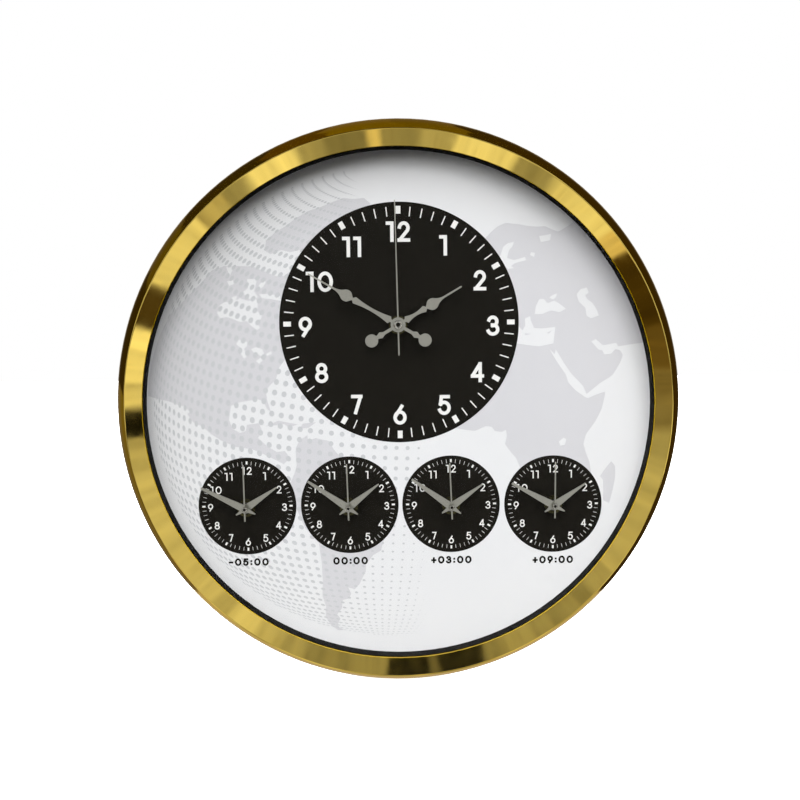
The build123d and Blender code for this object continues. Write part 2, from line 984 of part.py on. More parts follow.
def main_train():
    """Wheels, pinions and arbors of the main movement, in mesh at rest."""
    main = movement_places()[0]
    minute_at = minute_arbor_place()
    third_at = polar(third_arbor_distance, third_arbor_angle)
    intermediate_at = polar(intermediate_arbor_distance, intermediate_arbor_angle)
    rotor_at = rotor_place()
    cover_front = movement_rear_depth + movement_cover_thickness
    pivot_rear = cover_front - pivot_depth
    offset_pinion = (pinion_thickness - wheel_thickness) / 2
    arbor_bore = second_arbor_radius + running_clearance

    motion_module = train_module(minute_arbor_distance, cannon_teeth, minute_wheel_teeth)
    hour_module = train_module(minute_arbor_distance, minute_pinion_teeth, hour_wheel_teeth)
    centre_module = train_module(third_arbor_distance, third_pinion_teeth, centre_wheel_teeth)
    third_module = train_module(third_arbor_distance, second_pinion_teeth, third_wheel_teeth)
    second_module = train_module(
        intermediate_arbor_distance, intermediate_pinion_teeth, second_wheel_teeth
    )
    rotor_module = train_module(
        rotor_from_intermediate, rotor_pinion_teeth, intermediate_wheel_teeth
    )

    # Hour wheel on its pipe
    hour_phase = meshing_phase(
        0, minute_pinion_teeth, hour_wheel_teeth, minute_arbor_angle + half_turn
    )
    hour_teeth = gear_outline(
        hour_wheel_teeth, hour_module, hour_phase, minute_pipe_radius + running_clearance
    )
    hour_wheel = level_disc(hour_teeth, hour_wheel_level, wheel_thickness, (0, 0))
    hour_wheel += hour_pipe(main, back_of(hour_wheel_level + wheel_thickness))

    # Cannon pinion on the minute pipe
    pipe_rear = back_of(centre_wheel_level + pinion_thickness)
    cannon = level_disc(
        gear_outline(cannon_teeth, motion_module, 0, arbor_bore),
        minute_wheel_level - offset_pinion,
        pinion_thickness,
        (0, 0),
    )
    cannon += minute_pipe(main, pipe_rear)

    # Minute wheel with its pinion, carried by the knob's shaft
    minute_phase = meshing_phase(0, cannon_teeth, minute_wheel_teeth, minute_arbor_angle)
    minute_wheel = level_disc(
        gear_outline(minute_wheel_teeth, motion_module, minute_phase, 0),
        minute_wheel_level,
        wheel_thickness,
        minute_at,
    )
    minute_wheel += level_disc(
        gear_outline(minute_pinion_teeth, hour_module, 0, 0),
        hour_wheel_level - offset_pinion,
        minute_wheel_level - hour_wheel_level + offset_pinion,
        minute_at,
    )
    minute_wheel += disc(
        minute_arbor_radius,
        back_of(minute_wheel_level + wheel_thickness),
        knob_shaft_front(True),
        shifted(main, minute_at),
    )

    # Centre wheel, a friction fit on the minute pipe in the real clock
    centre_phase = meshing_phase(
        0, third_pinion_teeth, centre_wheel_teeth, third_arbor_angle + half_turn
    )
    centre_wheel = level_disc(
        gear_outline(
            centre_wheel_teeth,
            centre_module,
            centre_phase,
            minute_pipe_radius + running_clearance,
        ),
        centre_wheel_level,
        wheel_thickness,
        (0, 0),
    )

    # Third wheel between the train plate and the cover
    third_phase = meshing_phase(0, second_pinion_teeth, third_wheel_teeth, third_arbor_angle)
    third_wheel = level_disc(
        gear_outline(third_wheel_teeth, third_module, third_phase, 0),
        third_wheel_level,
        wheel_thickness,
        third_at,
    )
    third_wheel += level_disc(
        gear_outline(third_pinion_teeth, centre_module, 0, 0),
        centre_wheel_level - offset_pinion,
        third_wheel_level - centre_wheel_level + offset_pinion,
        third_at,
    )
    third_wheel += train_arbor(shifted(main, third_at), pivot_rear)

    # Second wheel on the arbor that carries the second hand
    second_phase = meshing_phase(
        0, intermediate_pinion_teeth, second_wheel_teeth, intermediate_arbor_angle + half_turn
    )
    second_wheel = level_disc(
        gear_outline(second_wheel_teeth, second_module, second_phase, 0),
        second_wheel_level,
        wheel_thickness,
        (0, 0),
    )
    second_wheel += level_disc(
        gear_outline(second_pinion_teeth, third_module, 0, 0),
        third_wheel_level - offset_pinion,
        second_wheel_level - third_wheel_level + offset_pinion,
        (0, 0),
    )
    second_wheel += second_arbor(main, pivot_rear)

    # Intermediate wheel
    intermediate_phase = meshing_phase(
        0, rotor_pinion_teeth, intermediate_wheel_teeth, rotor_direction + half_turn
    )
    intermediate = level_disc(
        gear_outline(intermediate_wheel_teeth, rotor_module, intermediate_phase, 0),
        intermediate_wheel_level,
        wheel_thickness,
        intermediate_at,
    )
    intermediate += level_disc(
        gear_outline(intermediate_pinion_teeth, second_module, 0, 0),
        second_wheel_level - offset_pinion,
        intermediate_wheel_level - second_wheel_level + offset_pinion,
        intermediate_at,
    )
    intermediate += train_arbor(shifted(main, intermediate_at), pivot_rear)

    # Rotor with its pinion and round magnet
    rotor = level_disc(
        gear_outline(rotor_pinion_teeth, rotor_module, 0, 0),
        intermediate_wheel_level - offset_pinion,
        rotor_magnet_level - intermediate_wheel_level + offset_pinion,
        rotor_at,
    )
    rotor += level_disc(
        Circle(rotor_magnet_radius), rotor_magnet_level, rotor_magnet_thickness, rotor_at
    )
    rotor += train_arbor(shifted(main, rotor_at), pivot_rear)

    return {
        "main_hour_wheel": [hour_wheel],
        "main_cannon_pinion": [cannon],
        "main_minute_wheel": [minute_wheel],
        "main_centre_wheel": [centre_wheel],
        "main_third_wheel": [third_wheel],
        "main_second_wheel": [second_wheel],
        "main_intermediate_wheel": [intermediate],
        "main_rotor": [rotor],
    }


def rotor_place():
    """Offset of the rotor from the movement's centre."""
    intermediate_at = polar(intermediate_arbor_distance, intermediate_arbor_angle)
    return shifted(intermediate_at, polar(rotor_from_intermediate, rotor_direction))


def train_arbor(place, rear):
    """Thin arbor from the cover's pivot hole to the train plate's."""
    front = back_of(train_plate_level + train_plate_thickness) + pivot_depth
    return disc(train_arbor_radius, rear, front, place)


def train_pivots():
    """Radius and offset of each arbor that ends in the train plate or the cover."""
    return [
        (train_arbor_radius, polar(third_arbor_distance, third_arbor_angle)),
        (train_arbor_radius, polar(intermediate_arbor_distance, intermediate_arbor_angle)),
        (train_arbor_radius, rotor_place()),
    ]


def train_plate():
    """Plate between the motion work and the going train, lodged against the case walls."""
    main = movement_places()[0]
    inside = half_movement - movement_wall
    rear = back_of(train_plate_level + train_plate_thickness)
    front = back_of(train_plate_level)
    plate = slab(-inside, inside, bay_top + partition_thickness, inside, rear, front, main)
    plate -= disc(
        minute_pipe_radius + running_clearance, rear - cut_overrun, front + cut_overrun, main
    )
    plate -= disc(
        minute_arbor_radius + running_clearance,
        rear - cut_overrun,
        front + cut_overrun,
        shifted(main, minute_arbor_place()),
    )
    for radius, offset in train_pivots():
        plate -= disc(
            radius + running_clearance,
            rear - cut_overrun,
            rear + pivot_depth + running_clearance,
            shifted(main, offset),
        )
    return plate


def stator():
    """Soft iron stator with the rotor's hole and two legs, and the coil's core between them."""
    main = movement_places()[0]
    x, z = rotor_place()
    rear = back_of(stator_level + stator_thickness)
    front = back_of(stator_level)
    bar = Pos(x, z) * Rectangle(2 * stator_half_length, 2 * stator_half_width)
    leg_tall = stator_rise + stator_half_width
    leg_middle = z + leg_tall / 2 - stator_half_width
    leg_offset = stator_half_length - stator_leg_width / 2
    for side in (-1, 1):
        leg = Rectangle(stator_leg_width, leg_tall)
        bar += Pos(x + side * leg_offset, leg_middle) * leg
    bar -= Pos(x, z) * Circle(rotor_magnet_radius + magnet_gap)
    core = slab(
        x - stator_half_length,
        x + stator_half_length,
        z + coil_height_above_rotor - coil_core_half_width,
        z + coil_height_above_rotor + coil_core_half_width,
        front,
        front + stator_thickness,
        main,
    )
    return [raised(bar, rear, front, main), core]


def coil():
    """Coil bobbin with two flanges, wound between them, round the flat core."""
    main = movement_places()[0]
    x, z = shifted(main, rotor_place())
    z += coil_height_above_rotor
    depth = back_of(stator_level - stator_thickness / 2)
    start = Plane(origin=(x, -depth, z), x_dir=(0, 1, 0), z_dir=(1, 0, 0))
    body = extrude(start * Circle(coil_radius), coil_half_length, both=True)
    for side in (-1, 1):
        middle = start.offset(side * (coil_half_length - coil_flange_thickness / 2))
        body += extrude(
            middle * Circle(coil_flange_radius), coil_flange_thickness / 2, both=True
        )
    tunnel = Rectangle(
        stator_thickness + 2 * coil_core_clearance,
        2 * (coil_core_half_width + coil_core_clearance),
    )
    return body - extrude(start * tunnel, coil_half_length + cut_overrun, both=True)


def circuit_board():
    """Narrow circuit board with its chip and quartz can."""
    main = movement_places()[0]
    rear = back_of(board_level + board_thickness)
    front = back_of(board_level)
    left = movement_wall - half_movement
    board = slab(left, left + board_width, board_low, board_high, rear, front, main)
    middle = left + board_width / 2
    quarter = (board_high - board_low) / 4
    chip = disc(
        chip_radius, front, front + chip_height, shifted(main, (middle, board_low + quarter))
    )
    x, z = shifted(main, (middle, board_high - quarter))
    can_start = Plane(
        origin=(x, -front - crystal_radius, z), x_dir=(1, 0, 0), z_dir=(0, 0, 1)
    )
    can = extrude(can_start * Circle(crystal_radius), crystal_length / 2, both=True)
    return [board, chip, can]


def main_movement():
    """Write the opened main movement and its hands."""
    place = movement_places()[0]
    hour_angle, minute_angle, second_angle = main_angles
    pivots = train_pivots() + [(second_arbor_radius, (0, 0))]
    save("main_movement_case", movement_case(place, True))
    save("main_movement_cover", movement_cover(place, pivots))
    save("main_setting_knob", setting_knob(place, True))
    save("main_battery", battery(place))
    save("main_train_plate", train_plate())
    save("main_stator", *stator())
    save("main_coil", coil())
    save("main_circuit_board", *circuit_board())
    for name, solids in main_train().items():
        save(name, *solids)
    hour = spade_outline(main_hour_reach, hour_leaf_at, hour_tip_half_width)
    minute = spade_outline(main_minute_reach, minute_leaf_at, minute_tip_half_width)
    second = needle_outline(
        main_second_reach, main_second_tail, main_second_half_width, main_second_tip_half_width
    )
    save("main_hour_hand", hour_hand(hour, hour_angle, place, hub_disc_radius))
    save("main_minute_hand", minute_hand(minute, minute_angle, place, hub_disc_radius))
    needle = second_hand(second, second_angle, place, second_cap_radius, second_cap_bore_radius)
    save("main_second_hand", needle)


def small_movement(number, place, angles):
    """Write a closed small movement and its hands."""
    hour_angle, minute_angle, second_angle = angles
    name = f"zone_{number}"
    front = movement_front_depth
    save(f"{name}_movement_case", movement_case(place, False))
    save(f"{name}_movement_cover", movement_cover(place, []))
    save(f"{name}_setting_knob", setting_knob(place, False))
    save(f"{name}_battery", battery(place))
    hour = tapered_outline(small_hour_reach, small_hour_tip_half_width)
    minute = tapered_outline(small_minute_reach, small_minute_tip_half_width)
    second = needle_outline(
        small_second_reach,
        small_second_tail,
        small_second_half_width,
        small_second_tip_half_width,
    )
    needle = second_hand(
        second, second_angle, place, small_second_cap_radius, small_second_cap_bore_radius
    )
    save(
        f"{name}_hour_hand",
        hour_hand(hour, hour_angle, place, small_hour_hub_radius),
        hour_pipe(place, front - small_hour_pipe_sink),
    )
    save(
        f"{name}_minute_hand",
        minute_hand(minute, minute_angle, place, small_shoulder_half_width),
        minute_pipe(place, front - small_minute_pipe_sink),
    )
    save(
        f"{name}_second_hand",
        needle,
        second_arbor(place, front - small_second_arbor_sink),
    )


def main():
    """Write every node of the clock."""
    os.makedirs("parts", exist_ok=True)
    places = movement_places()
    save("case_ring", case_ring())
    save("front_glass", front_glass())
    save("inner_ring", inner_ring())
    save("dial_sheet", dial_sheet())
    save("dial_board", dial_board())
    save("back_cover", back_cover())
    save("hanger_plate", hanger_plate())
    save("hanger_screws", *hanger_screws())
    save("cover_screws", *cover_screws())
    save("shaft_nuts", *[shaft_nut(place) for place in places])
    save("shaft_washers", *[shaft_washer(place) for place in places])
    save("rubber_washers", *[rubber_washer(place) for place in places])
    contacts = [contact for place in places for contact in battery_contacts(place)]
    save("battery_contacts", *contacts)
    main_movement()
    for number, angles in enumerate(small_angles, start=1):
        small_movement(number, places[number], angles)


main()
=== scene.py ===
import json
import logging
import math
from collections.abc import Iterable, Sequence
from dataclasses import dataclass, field, replace
from enum import Enum
from functools import cache
from typing import Any

import bmesh
import bpy
from mathutils import Matrix, Vector
from mathutils.geometry import delaunay_2d_cdt

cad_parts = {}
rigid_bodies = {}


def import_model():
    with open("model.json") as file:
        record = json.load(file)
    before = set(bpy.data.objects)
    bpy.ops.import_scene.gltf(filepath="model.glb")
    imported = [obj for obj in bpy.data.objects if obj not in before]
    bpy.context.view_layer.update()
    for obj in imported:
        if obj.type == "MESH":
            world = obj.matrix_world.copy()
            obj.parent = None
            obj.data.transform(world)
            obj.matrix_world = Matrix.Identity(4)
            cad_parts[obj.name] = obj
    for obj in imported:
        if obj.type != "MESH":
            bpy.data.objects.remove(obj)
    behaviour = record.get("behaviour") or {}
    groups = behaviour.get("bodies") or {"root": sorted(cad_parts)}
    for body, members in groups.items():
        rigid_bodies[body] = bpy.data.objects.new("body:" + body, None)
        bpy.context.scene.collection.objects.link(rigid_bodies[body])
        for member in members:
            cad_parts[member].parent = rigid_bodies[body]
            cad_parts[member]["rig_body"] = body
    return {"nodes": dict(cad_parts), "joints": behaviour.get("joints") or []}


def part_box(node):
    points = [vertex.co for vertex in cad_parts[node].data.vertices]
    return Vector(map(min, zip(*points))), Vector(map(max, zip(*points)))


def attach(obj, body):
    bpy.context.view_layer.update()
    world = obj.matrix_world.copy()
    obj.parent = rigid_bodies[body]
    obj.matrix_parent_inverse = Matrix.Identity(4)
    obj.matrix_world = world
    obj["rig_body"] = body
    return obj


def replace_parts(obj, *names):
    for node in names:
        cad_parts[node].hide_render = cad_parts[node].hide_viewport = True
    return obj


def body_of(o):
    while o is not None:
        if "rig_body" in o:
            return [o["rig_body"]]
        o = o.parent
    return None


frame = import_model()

log = logging.getLogger("world_clock")

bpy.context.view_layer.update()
MM = 0.001
HOURS = 12
# Points nearer than this, in mm, count as one
WELD = 1e-5

Point = tuple[float, float]
Outline = list[Point]
Tone = tuple[float, float, float]
Socket = bpy.types.NodeSocket


def shade(red: float, green: float, blue: float) -> Tone:
    """Turns a 0 to 255 screen colour into scene-linear light.

    Args:
        red: Screen red.
        green: Screen green.
        blue: Screen blue.

    Returns:
        The three linear shares.
    """
    def linear(level: float) -> float:
        """One channel's linear share, by the screen standard's curve."""
        share = level / 255
        return share / 12.92 if share <= 0.04045 else ((share + 0.055) / 1.055) ** 2.4
    return linear(red), linear(green), linear(blue)


def mixed(first: Tone, second: Tone, share: float) -> Tone:
    """Blends two tones, with that share of the second."""
    return tuple(a + (b - a) * share for a, b in zip(first, second))


def share_of(value: float, start: float, end: float) -> float:
    """How far a value has come from start to end, kept from 0 to 1."""
    return max(0.0, min(1.0, (value - start) / (end - start)))


def polar(radius: float, hour: float) -> Point:
    """Point at a radius in the direction of a clock hour."""
    turn = math.tau * hour / HOURS
    return radius * math.sin(turn), radius * math.cos(turn)


# Finishes


class Grain(Enum):
    """How a surface was made, which sets its relief."""

    MOULDED = "smooth tool marks"
    ERODED = "fine spark-eroded tool texture"
    BRUSHED = "lines along one way"
    TURNED = "rings round the axis"
    PLATED = "bright plating with faint flow waves"
    FIBRE = "pressed fibres"
    WOUND = "close turns of wire"
    PRINTED = "coated paper"
    ROLLED = "rolled sheet"


def dress_slots(piece: bpy.types.Object, material: bpy.types.Material) -> None:
    """Puts a material on every slot of a piece, and gives it one where it has none.

    Args:
        piece: The piece.
        material: Its new material.
    """
    slots = piece.data.materials
    if not slots:
        slots.append(material)
    for index in range(len(slots)):
        slots[index] = material


# Width of a cloud of tone, in pitches of the grain, and the clouds' share of the tone
CLOUD_PITCHES = 22
CLOUD_SHARE = 0.65
COAT_ROUGHNESS = 0.12
# Detail and roughness of the noise that stands for some grains
CLOUDY_GRAINS = {Grain.PLATED: (1.5, 0.4), Grain.FIBRE: (8, 0.75), Grain.ROLLED: (6, 0.7)}


class Bench:
    """A node tree, with short ways to place and wire nodes."""

    def __init__(self, tree: bpy.types.NodeTree) -> None:
        """Takes the tree to work on."""
        self.tree = tree

    def node(self, kind: str, inputs: dict[Any, Any] | None = None, **settings: Any) -> bpy.types.Node:
        """Adds a node.

        Args:
            kind: Node type without its ShaderNode prefix.
            inputs: Sockets and what goes into them, a value or another socket.
            settings: Attributes of the node.

        Returns:
            The new node.
        """
        made = self.tree.nodes.new("ShaderNode" + kind)
        for key, value in settings.items():
            setattr(made, key, value)
        for key, value in (inputs or {}).items():
            self.feed(made.inputs[key], value)
        return made

    def feed(self, socket: Socket, value: Any) -> None:
        """Wires a socket, or sets its value.

        Args:
            socket: The socket.
            value: A value, or the socket that feeds it.
        """
        if isinstance(value, Socket):
            self.tree.links.new(value, socket)
        else:
            socket.default_value = value

    def place(self, scale: Sequence[float] = (1, 1, 1)) -> Socket:
        """The piece's own coordinates, scaled along each axis."""
        seat = self.node("TexCoord").outputs["Object"]
        return self.node("Mapping", {"Vector": seat, "Scale": scale}).outputs["Vector"]

    def noise(self, where: Socket, scale: float, detail: float = 3.0, rough: float = 0.55) -> Socket:
        """Cloudy noise, from 0 to 1."""
        made = self.node("TexNoise", {"Vector": where, "Scale": scale, "Detail": detail, "Roughness": rough})
        return made.outputs["Fac"]

    def span(self, value: Socket, low: float, high: float, start: float = 0.3, end: float = 0.7) -> Socket:
        """Maps the value's start to end onto low to high."""
        made = self.node("MapRange", {0: value, 1: start, 2: end, 3: low, 4: high})
        return made.outputs[0]

    def sums(self, kind: str, first: Any, second: Any = 0.0) -> Socket:
        """One sum of two values."""
        return self.node("Math", {0: first, 1: second}, operation=kind).outputs[0]

    def weighed(self, first: Any, first_weight: float, second: Any, second_weight: float) -> Socket:
        """Two values added, each times its weight."""
        return self.sums("ADD", self.sums("MULTIPLY", first, first_weight),
                         self.sums("MULTIPLY", second, second_weight))

    def blend(self, share: Any, first: Any, second: Any, how: str = "MIX") -> Socket:
        """Mixes two colours by a share.

        Args:
            share: Share of the second colour.
            first: Tone or socket at 0.
            second: Tone or socket at 1.
            how: Way of mixing.

        Returns:
            The mixed colour.
        """
        made = self.node("Mix", data_type="RGBA", blend_type=how)
        for socket, value in zip((made.inputs[0], made.inputs[6], made.inputs[7]), (share, first, second)):
            self.feed(socket, (*value, 1) if isinstance(value, tuple) else value)
        return made.outputs[2]

    def ramp(self, value: Socket, stops: Iterable[tuple[float, Tone]]) -> Socket:
        """Colour by a value, through stops of place and tone.

        Args:
            value: Place along the ramp, from 0 to 1.
            stops: Places and tones in order.

        Returns:
            The colour.
        """
        made = self.node("ValToRGB", {0: value})
        ramp = made.color_ramp
        for index, (place, tone) in enumerate(stops):
            stop = ramp.elements[index] if index < 2 else ramp.elements.new(1.0)
            stop.position = min(place, 1.0)
            stop.color = (*tone, 1)
        return made.outputs["Color"]


class MaterialBench(Bench):
    """A material's node tree, with its shader in place."""

    def __init__(self, name: str) -> None:
        """Opens a material.

        Args:
            name: The material's name.
        """
        self.material = bpy.data.materials.new(name)
        self.material.use_nodes = True
        super().__init__(self.material.node_tree)
        self.shader = self.tree.nodes["Principled BSDF"]
        self.output = self.tree.nodes["Material Output"]

    def relief(self, height: Socket, distance: float) -> None:
        """Raises the shader's normal by a height map, over a distance in metres."""
        made = self.node("Bump", {"Height": height, "Distance": distance, "Strength": 1.0})
        self.feed(self.shader.inputs["Normal"], made.outputs["Normal"])


@dataclass(frozen=True)
class Finish:
    """A solid surface finish.

    The two tones are the lightest and darkest that its colour wanders between, and the
    gloss pair is the range of its roughness.
    """

    name: str
    slot: str
    light: Tone
    dark: Tone
    gloss: tuple[float, float]
    grain: Grain = Grain.MOULDED
    metal: float = 0.0
    pitch: float = 0.6
    depth: float = 0.004
    lie: tuple[float, float, float] = (1.0, 1.0, 1.0)
    coat: float = 0.0
    mirror: float = 0.5

    @cache
    def material(self) -> bpy.types.Material:
        """Wires the finish up as a material.

        Returns:
            The one material that all pieces of this finish share.
        """
        bench = MaterialBench(self.name)
        shader = bench.shader.inputs
        shader["Metallic"].default_value = self.metal
        if self.metal:
            shader["Specular Tint"].default_value = (*self.light, 1)
        shader["Specular IOR Level"].default_value = self.mirror
        if self.coat:
            shader["Coat Weight"].default_value = self.coat
            shader["Coat Roughness"].default_value = COAT_ROUGHNESS
        where = bench.place(self.lie)
        cloud = bench.noise(where, 1 / (self.pitch * CLOUD_PITCHES * MM), 4)
        fine = self.pattern(bench, where)
        share = bench.span(bench.weighed(cloud, CLOUD_SHARE, fine, 1 - CLOUD_SHARE), 0, 1, 0.25, 0.75)
        bench.feed(shader["Base Color"], bench.blend(share, self.dark, self.light))
        bench.feed(shader["Roughness"], bench.span(fine, *self.gloss))
        bench.relief(fine, self.depth * MM)
        return bench.material

    def pattern(self, bench: Bench, where: Socket) -> Socket:
        """The grain's height map.

        Args:
            bench: The tree it is wired in.
            where: Coordinates, already stretched along the lie of the grain.

        Returns:
            A socket from 0 to 1.
        """
        size = 1 / (self.pitch * MM)
        if self.grain is Grain.ERODED:
            pits = bench.node("TexVoronoi", {"Vector": where, "Scale": size}, feature="SMOOTH_F1")
            return bench.weighed(pits.outputs["Distance"], 0.6, bench.noise(where, size * 0.7), 0.4)
        if self.grain in (Grain.TURNED, Grain.WOUND):
            turned = self.grain is Grain.TURNED
            lines = bench.node("TexWave", {"Vector": where, "Scale": size, "Distortion": 0.6 if turned else 0.35,
                                           "Detail": 2.0 if turned else 1.0},
                               wave_type="RINGS" if turned else "BANDS", rings_direction="Y", bands_direction="X")
            return lines.outputs["Fac"]
        return bench.noise(where, size, *CLOUDY_GRAINS.get(self.grain, ()))

    def dress(self, piece: bpy.types.Object) -> None:
        """Puts the finish on a piece."""
        dress_slots(piece, self.material())


@dataclass(frozen=True)
class ClearGlass:
    """Flat clear glass: seen straight through, with a gloss that grows at glancing angles."""

    name: str = "clear glass"
    slot: str = "clear_glass"
    straight_gloss: float = 0.002
    glance_power: float = 5.0
    smear: tuple[float, float] = (0.0, 0.05)
    smear_scale: float = 18.0
    tint_scale: float = 6.0

    @cache
    def material(self) -> bpy.types.Material:
        """Wires the glass up as a material.

        Returns:
            The one material of all clear glass.
        """
        bench = MaterialBench(self.name)
        bench.tree.nodes.remove(bench.shader)
        facing = bench.node("LayerWeight", {"Blend": 0.5}).outputs["Facing"]
        glance = bench.sums("POWER", facing, self.glance_power)
        share = bench.span(glance, self.straight_gloss, 1.0, 0.0, 1.0)
        wipe = bench.span(bench.noise(bench.place((1, 1, 3)), self.smear_scale, 4), *self.smear)
        tint = bench.ramp(bench.noise(bench.place(), self.tint_scale, 2),
                          [(0.3, (0.99, 0.99, 0.99)), (0.7, (1, 1, 1))])
        through = bench.node("BsdfTransparent", {"Color": tint})
        gloss = bench.node("BsdfGlossy", {"Roughness": wipe})
        both = bench.node("MixShader", {0: share, 1: through.outputs[0], 2: gloss.outputs[0]})
        bench.feed(bench.output.inputs["Surface"], both.outputs[0])
        return bench.material

    def dress(self, piece: bpy.types.Object) -> None:
        """Puts the glass on a piece."""
        dress_slots(piece, self.material())


@dataclass(frozen=True)
class CellJacket:
    """Printed battery jacket with bare metal ends, laid out along the cell's own length."""

    name: str
    slot: str
    left: float
    right: float
    jacket: Tone = shade(38, 62, 104)
    band: Tone = shade(196, 158, 92)
    metal: Tone = shade(196, 196, 190)
    minus_rim: float = 1.0
    plus_shoulder: float = 2.6
    band_width: float = 9.0
    edge_share: float = 0.0008
    grime_scale: float = 90.0
    dent_scale: float = 160.0
    dent_depth: float = 0.01

    def material(self) -> bpy.types.Material:
        """Wires the jacket up as a material.

        Returns:
            A new material, fitted to the length of one cell.
        """
        bench = MaterialBench(self.name)
        shader = bench.shader.inputs
        split = bench.node("SeparateXYZ", {0: bench.node("TexCoord").outputs["Object"]})
        along = bench.span(split.outputs["X"], 0, 1, self.left, self.right)
        length = (self.right - self.left) / MM
        rim, band = self.minus_rim / length, 1 - (self.plus_shoulder + self.band_width) / length
        shoulder, edge = 1 - self.plus_shoulder / length, self.edge_share
        stops = [(rim - edge, self.metal), (rim, self.jacket), (band - edge, self.jacket),
                 (band, self.band), (shoulder - edge, self.band), (shoulder, self.metal)]
        grime = bench.noise(bench.place((1, 4, 4)), self.grime_scale, 4)
        colour = bench.blend(bench.span(grime, 0, 0.25), bench.ramp(along, stops), (0.12, 0.12, 0.12), "MULTIPLY")
        bench.feed(shader["Base Color"], colour)
        ends = [(rim - edge, (1, 1, 1)), (rim, (0, 0, 0)), (shoulder - edge, (0, 0, 0)), (shoulder, (1, 1, 1))]
        bench.feed(shader["Metallic"], bench.ramp(along, ends))
        bench.feed(shader["Roughness"], bench.span(grime, 0.2, 0.38))
        bench.relief(bench.noise(bench.place((1, 9, 9)), self.dent_scale, 2), self.dent_depth * MM)
        return bench.material

    def dress(self, piece: bpy.types.Object) -> None:
        """Puts the jacket on a cell."""
        dress_slots(piece, self.material())


GOLD = Finish("gold plating", "gold_case", (0.965, 0.72, 0.17), (0.92, 0.65, 0.13), (0.035, 0.075), Grain.PLATED,
              metal=1.0, pitch=9.0, depth=0.006)
GLASS = ClearGlass()
RING_BLACK = Finish("satin black ring", "black_ring", shade(19, 18, 17), shade(13, 12, 11), (0.5, 0.65),
                    Grain.ERODED, pitch=0.5, mirror=0.03)
PAPER = Finish("white dial paper", "printed_dial", shade(238, 239, 240), shade(235, 236, 238), (0.55, 0.65),
               Grain.PRINTED, pitch=0.4, depth=0.0008, mirror=0.2)
LAND = replace(PAPER, name="land ink", light=shade(219, 219, 222), dark=shade(215, 215, 219))
DOT_INK = replace(PAPER, name="dot screen ink", light=shade(209, 211, 213), dark=shade(204, 206, 209))
WHITE_INK = replace(PAPER, name="white dial ink", light=shade(244, 244, 241), dark=shade(238, 238, 235),
                    gloss=(0.5, 0.6))
BLACK_INK = replace(PAPER, name="black dial ink", light=shade(27, 25, 20), dark=shade(23, 21, 17),
                    gloss=(0.5, 0.62), pitch=0.5, depth=0.001, mirror=0.06)
BOARD = Finish("pressed fibreboard", "fibreboard", shade(150, 118, 84), shade(112, 84, 56), (0.78, 0.92),
               Grain.FIBRE, pitch=0.9, depth=0.05, lie=(1, 1, 2.2))
COVER_BLACK = Finish("grained black moulding", "black_cover", shade(52, 52, 53), shade(38, 38, 39), (0.5, 0.68),
                     Grain.ERODED, pitch=0.55, depth=0.03)
ZINC = Finish("zinc plate", "zinc_steel", shade(196, 198, 202), shade(164, 167, 172), (0.24, 0.42), Grain.ROLLED,
              metal=1.0, pitch=0.9, depth=0.006, lie=(0.3, 1, 3))
BRASS = Finish("dulled brass", "brass", shade(104, 101, 70), shade(66, 63, 42), (0.16, 0.3), Grain.TURNED,
               metal=1.0, pitch=0.35, depth=0.004)
RUBBER = Finish("matt rubber", "rubber", shade(42, 42, 42), shade(30, 30, 30), (0.8, 0.95), Grain.ERODED, pitch=0.4,
                depth=0.02)
NICKEL = Finish("nickel strip", "nickel_strip", shade(212, 208, 198), shade(184, 180, 168), (0.16, 0.32),
                Grain.BRUSHED, metal=1.0, pitch=0.5, depth=0.004, lie=(1, 0.15, 1))
ACETAL = Finish("white acetal", "white_gear_plastic", shade(232, 231, 224), shade(220, 218, 208), (0.3, 0.44),
                pitch=0.7)
IRON = Finish("soft iron plate", "soft_iron", shade(150, 152, 156), shade(112, 114, 118), (0.34, 0.52),
              Grain.ROLLED, metal=1.0, pitch=0.5, depth=0.008)
COPPER = Finish("enamelled winding", "copper_winding", shade(196, 104, 58), shade(140, 60, 28), (0.2, 0.36),
                Grain.WOUND, metal=0.85, pitch=0.22, depth=0.05)
BOARD_GREEN = Finish("green board", "circuit_board", shade(36, 104, 62), shade(20, 78, 42), (0.22, 0.36),
                     Grain.ROLLED, pitch=0.3, depth=0.006, coat=0.4)
HAND_GREY = Finish("satin hand metal", "satin_hands", shade(204, 203, 192), shade(192, 191, 180), (0.26, 0.4),
                   Grain.BRUSHED, metal=1.0, pitch=0.35, depth=0.002)
# Dark metal for the disc in each hub collar's bore: painted shade standing for the shadow inside the hollow cap
PIT_SHADE = Finish("hub pit painted shade", "satin_hands", shade(52, 50, 44), shade(26, 25, 22), (0.3, 0.5), Grain.TURNED, metal=1.0,
             pitch=0.3, depth=0.01)
COLLAR = Finish("bright hub collar", "satin_hands", shade(222, 221, 212), shade(196, 194, 184), (0.1, 0.2),
                Grain.TURNED, metal=1.0, pitch=0.3, depth=0.002)
CASE_BLACK = Finish("black movement moulding", "black_movement_plastic", shade(46, 46, 47), shade(34, 34, 35),
                    (0.34, 0.5), Grain.ERODED, pitch=0.4, depth=0.012)
TRACK = Finish("bare copper track", "circuit_board", shade(206, 150, 92), shade(176, 118, 66), (0.26, 0.4),
               Grain.ROLLED, metal=1.0, pitch=0.4, depth=0.004)
SOLDER = Finish("solder", "circuit_board", shade(208, 210, 212), shade(178, 180, 184), (0.16, 0.34), Grain.ROLLED,
                metal=1.0, pitch=0.5, depth=0.02)
MARK_GREY = Finish("raised mark", "black_movement_plastic", shade(86, 86, 87), shade(70, 70, 71), (0.36, 0.5),
                   pitch=0.4, depth=0.01)


# Shop work


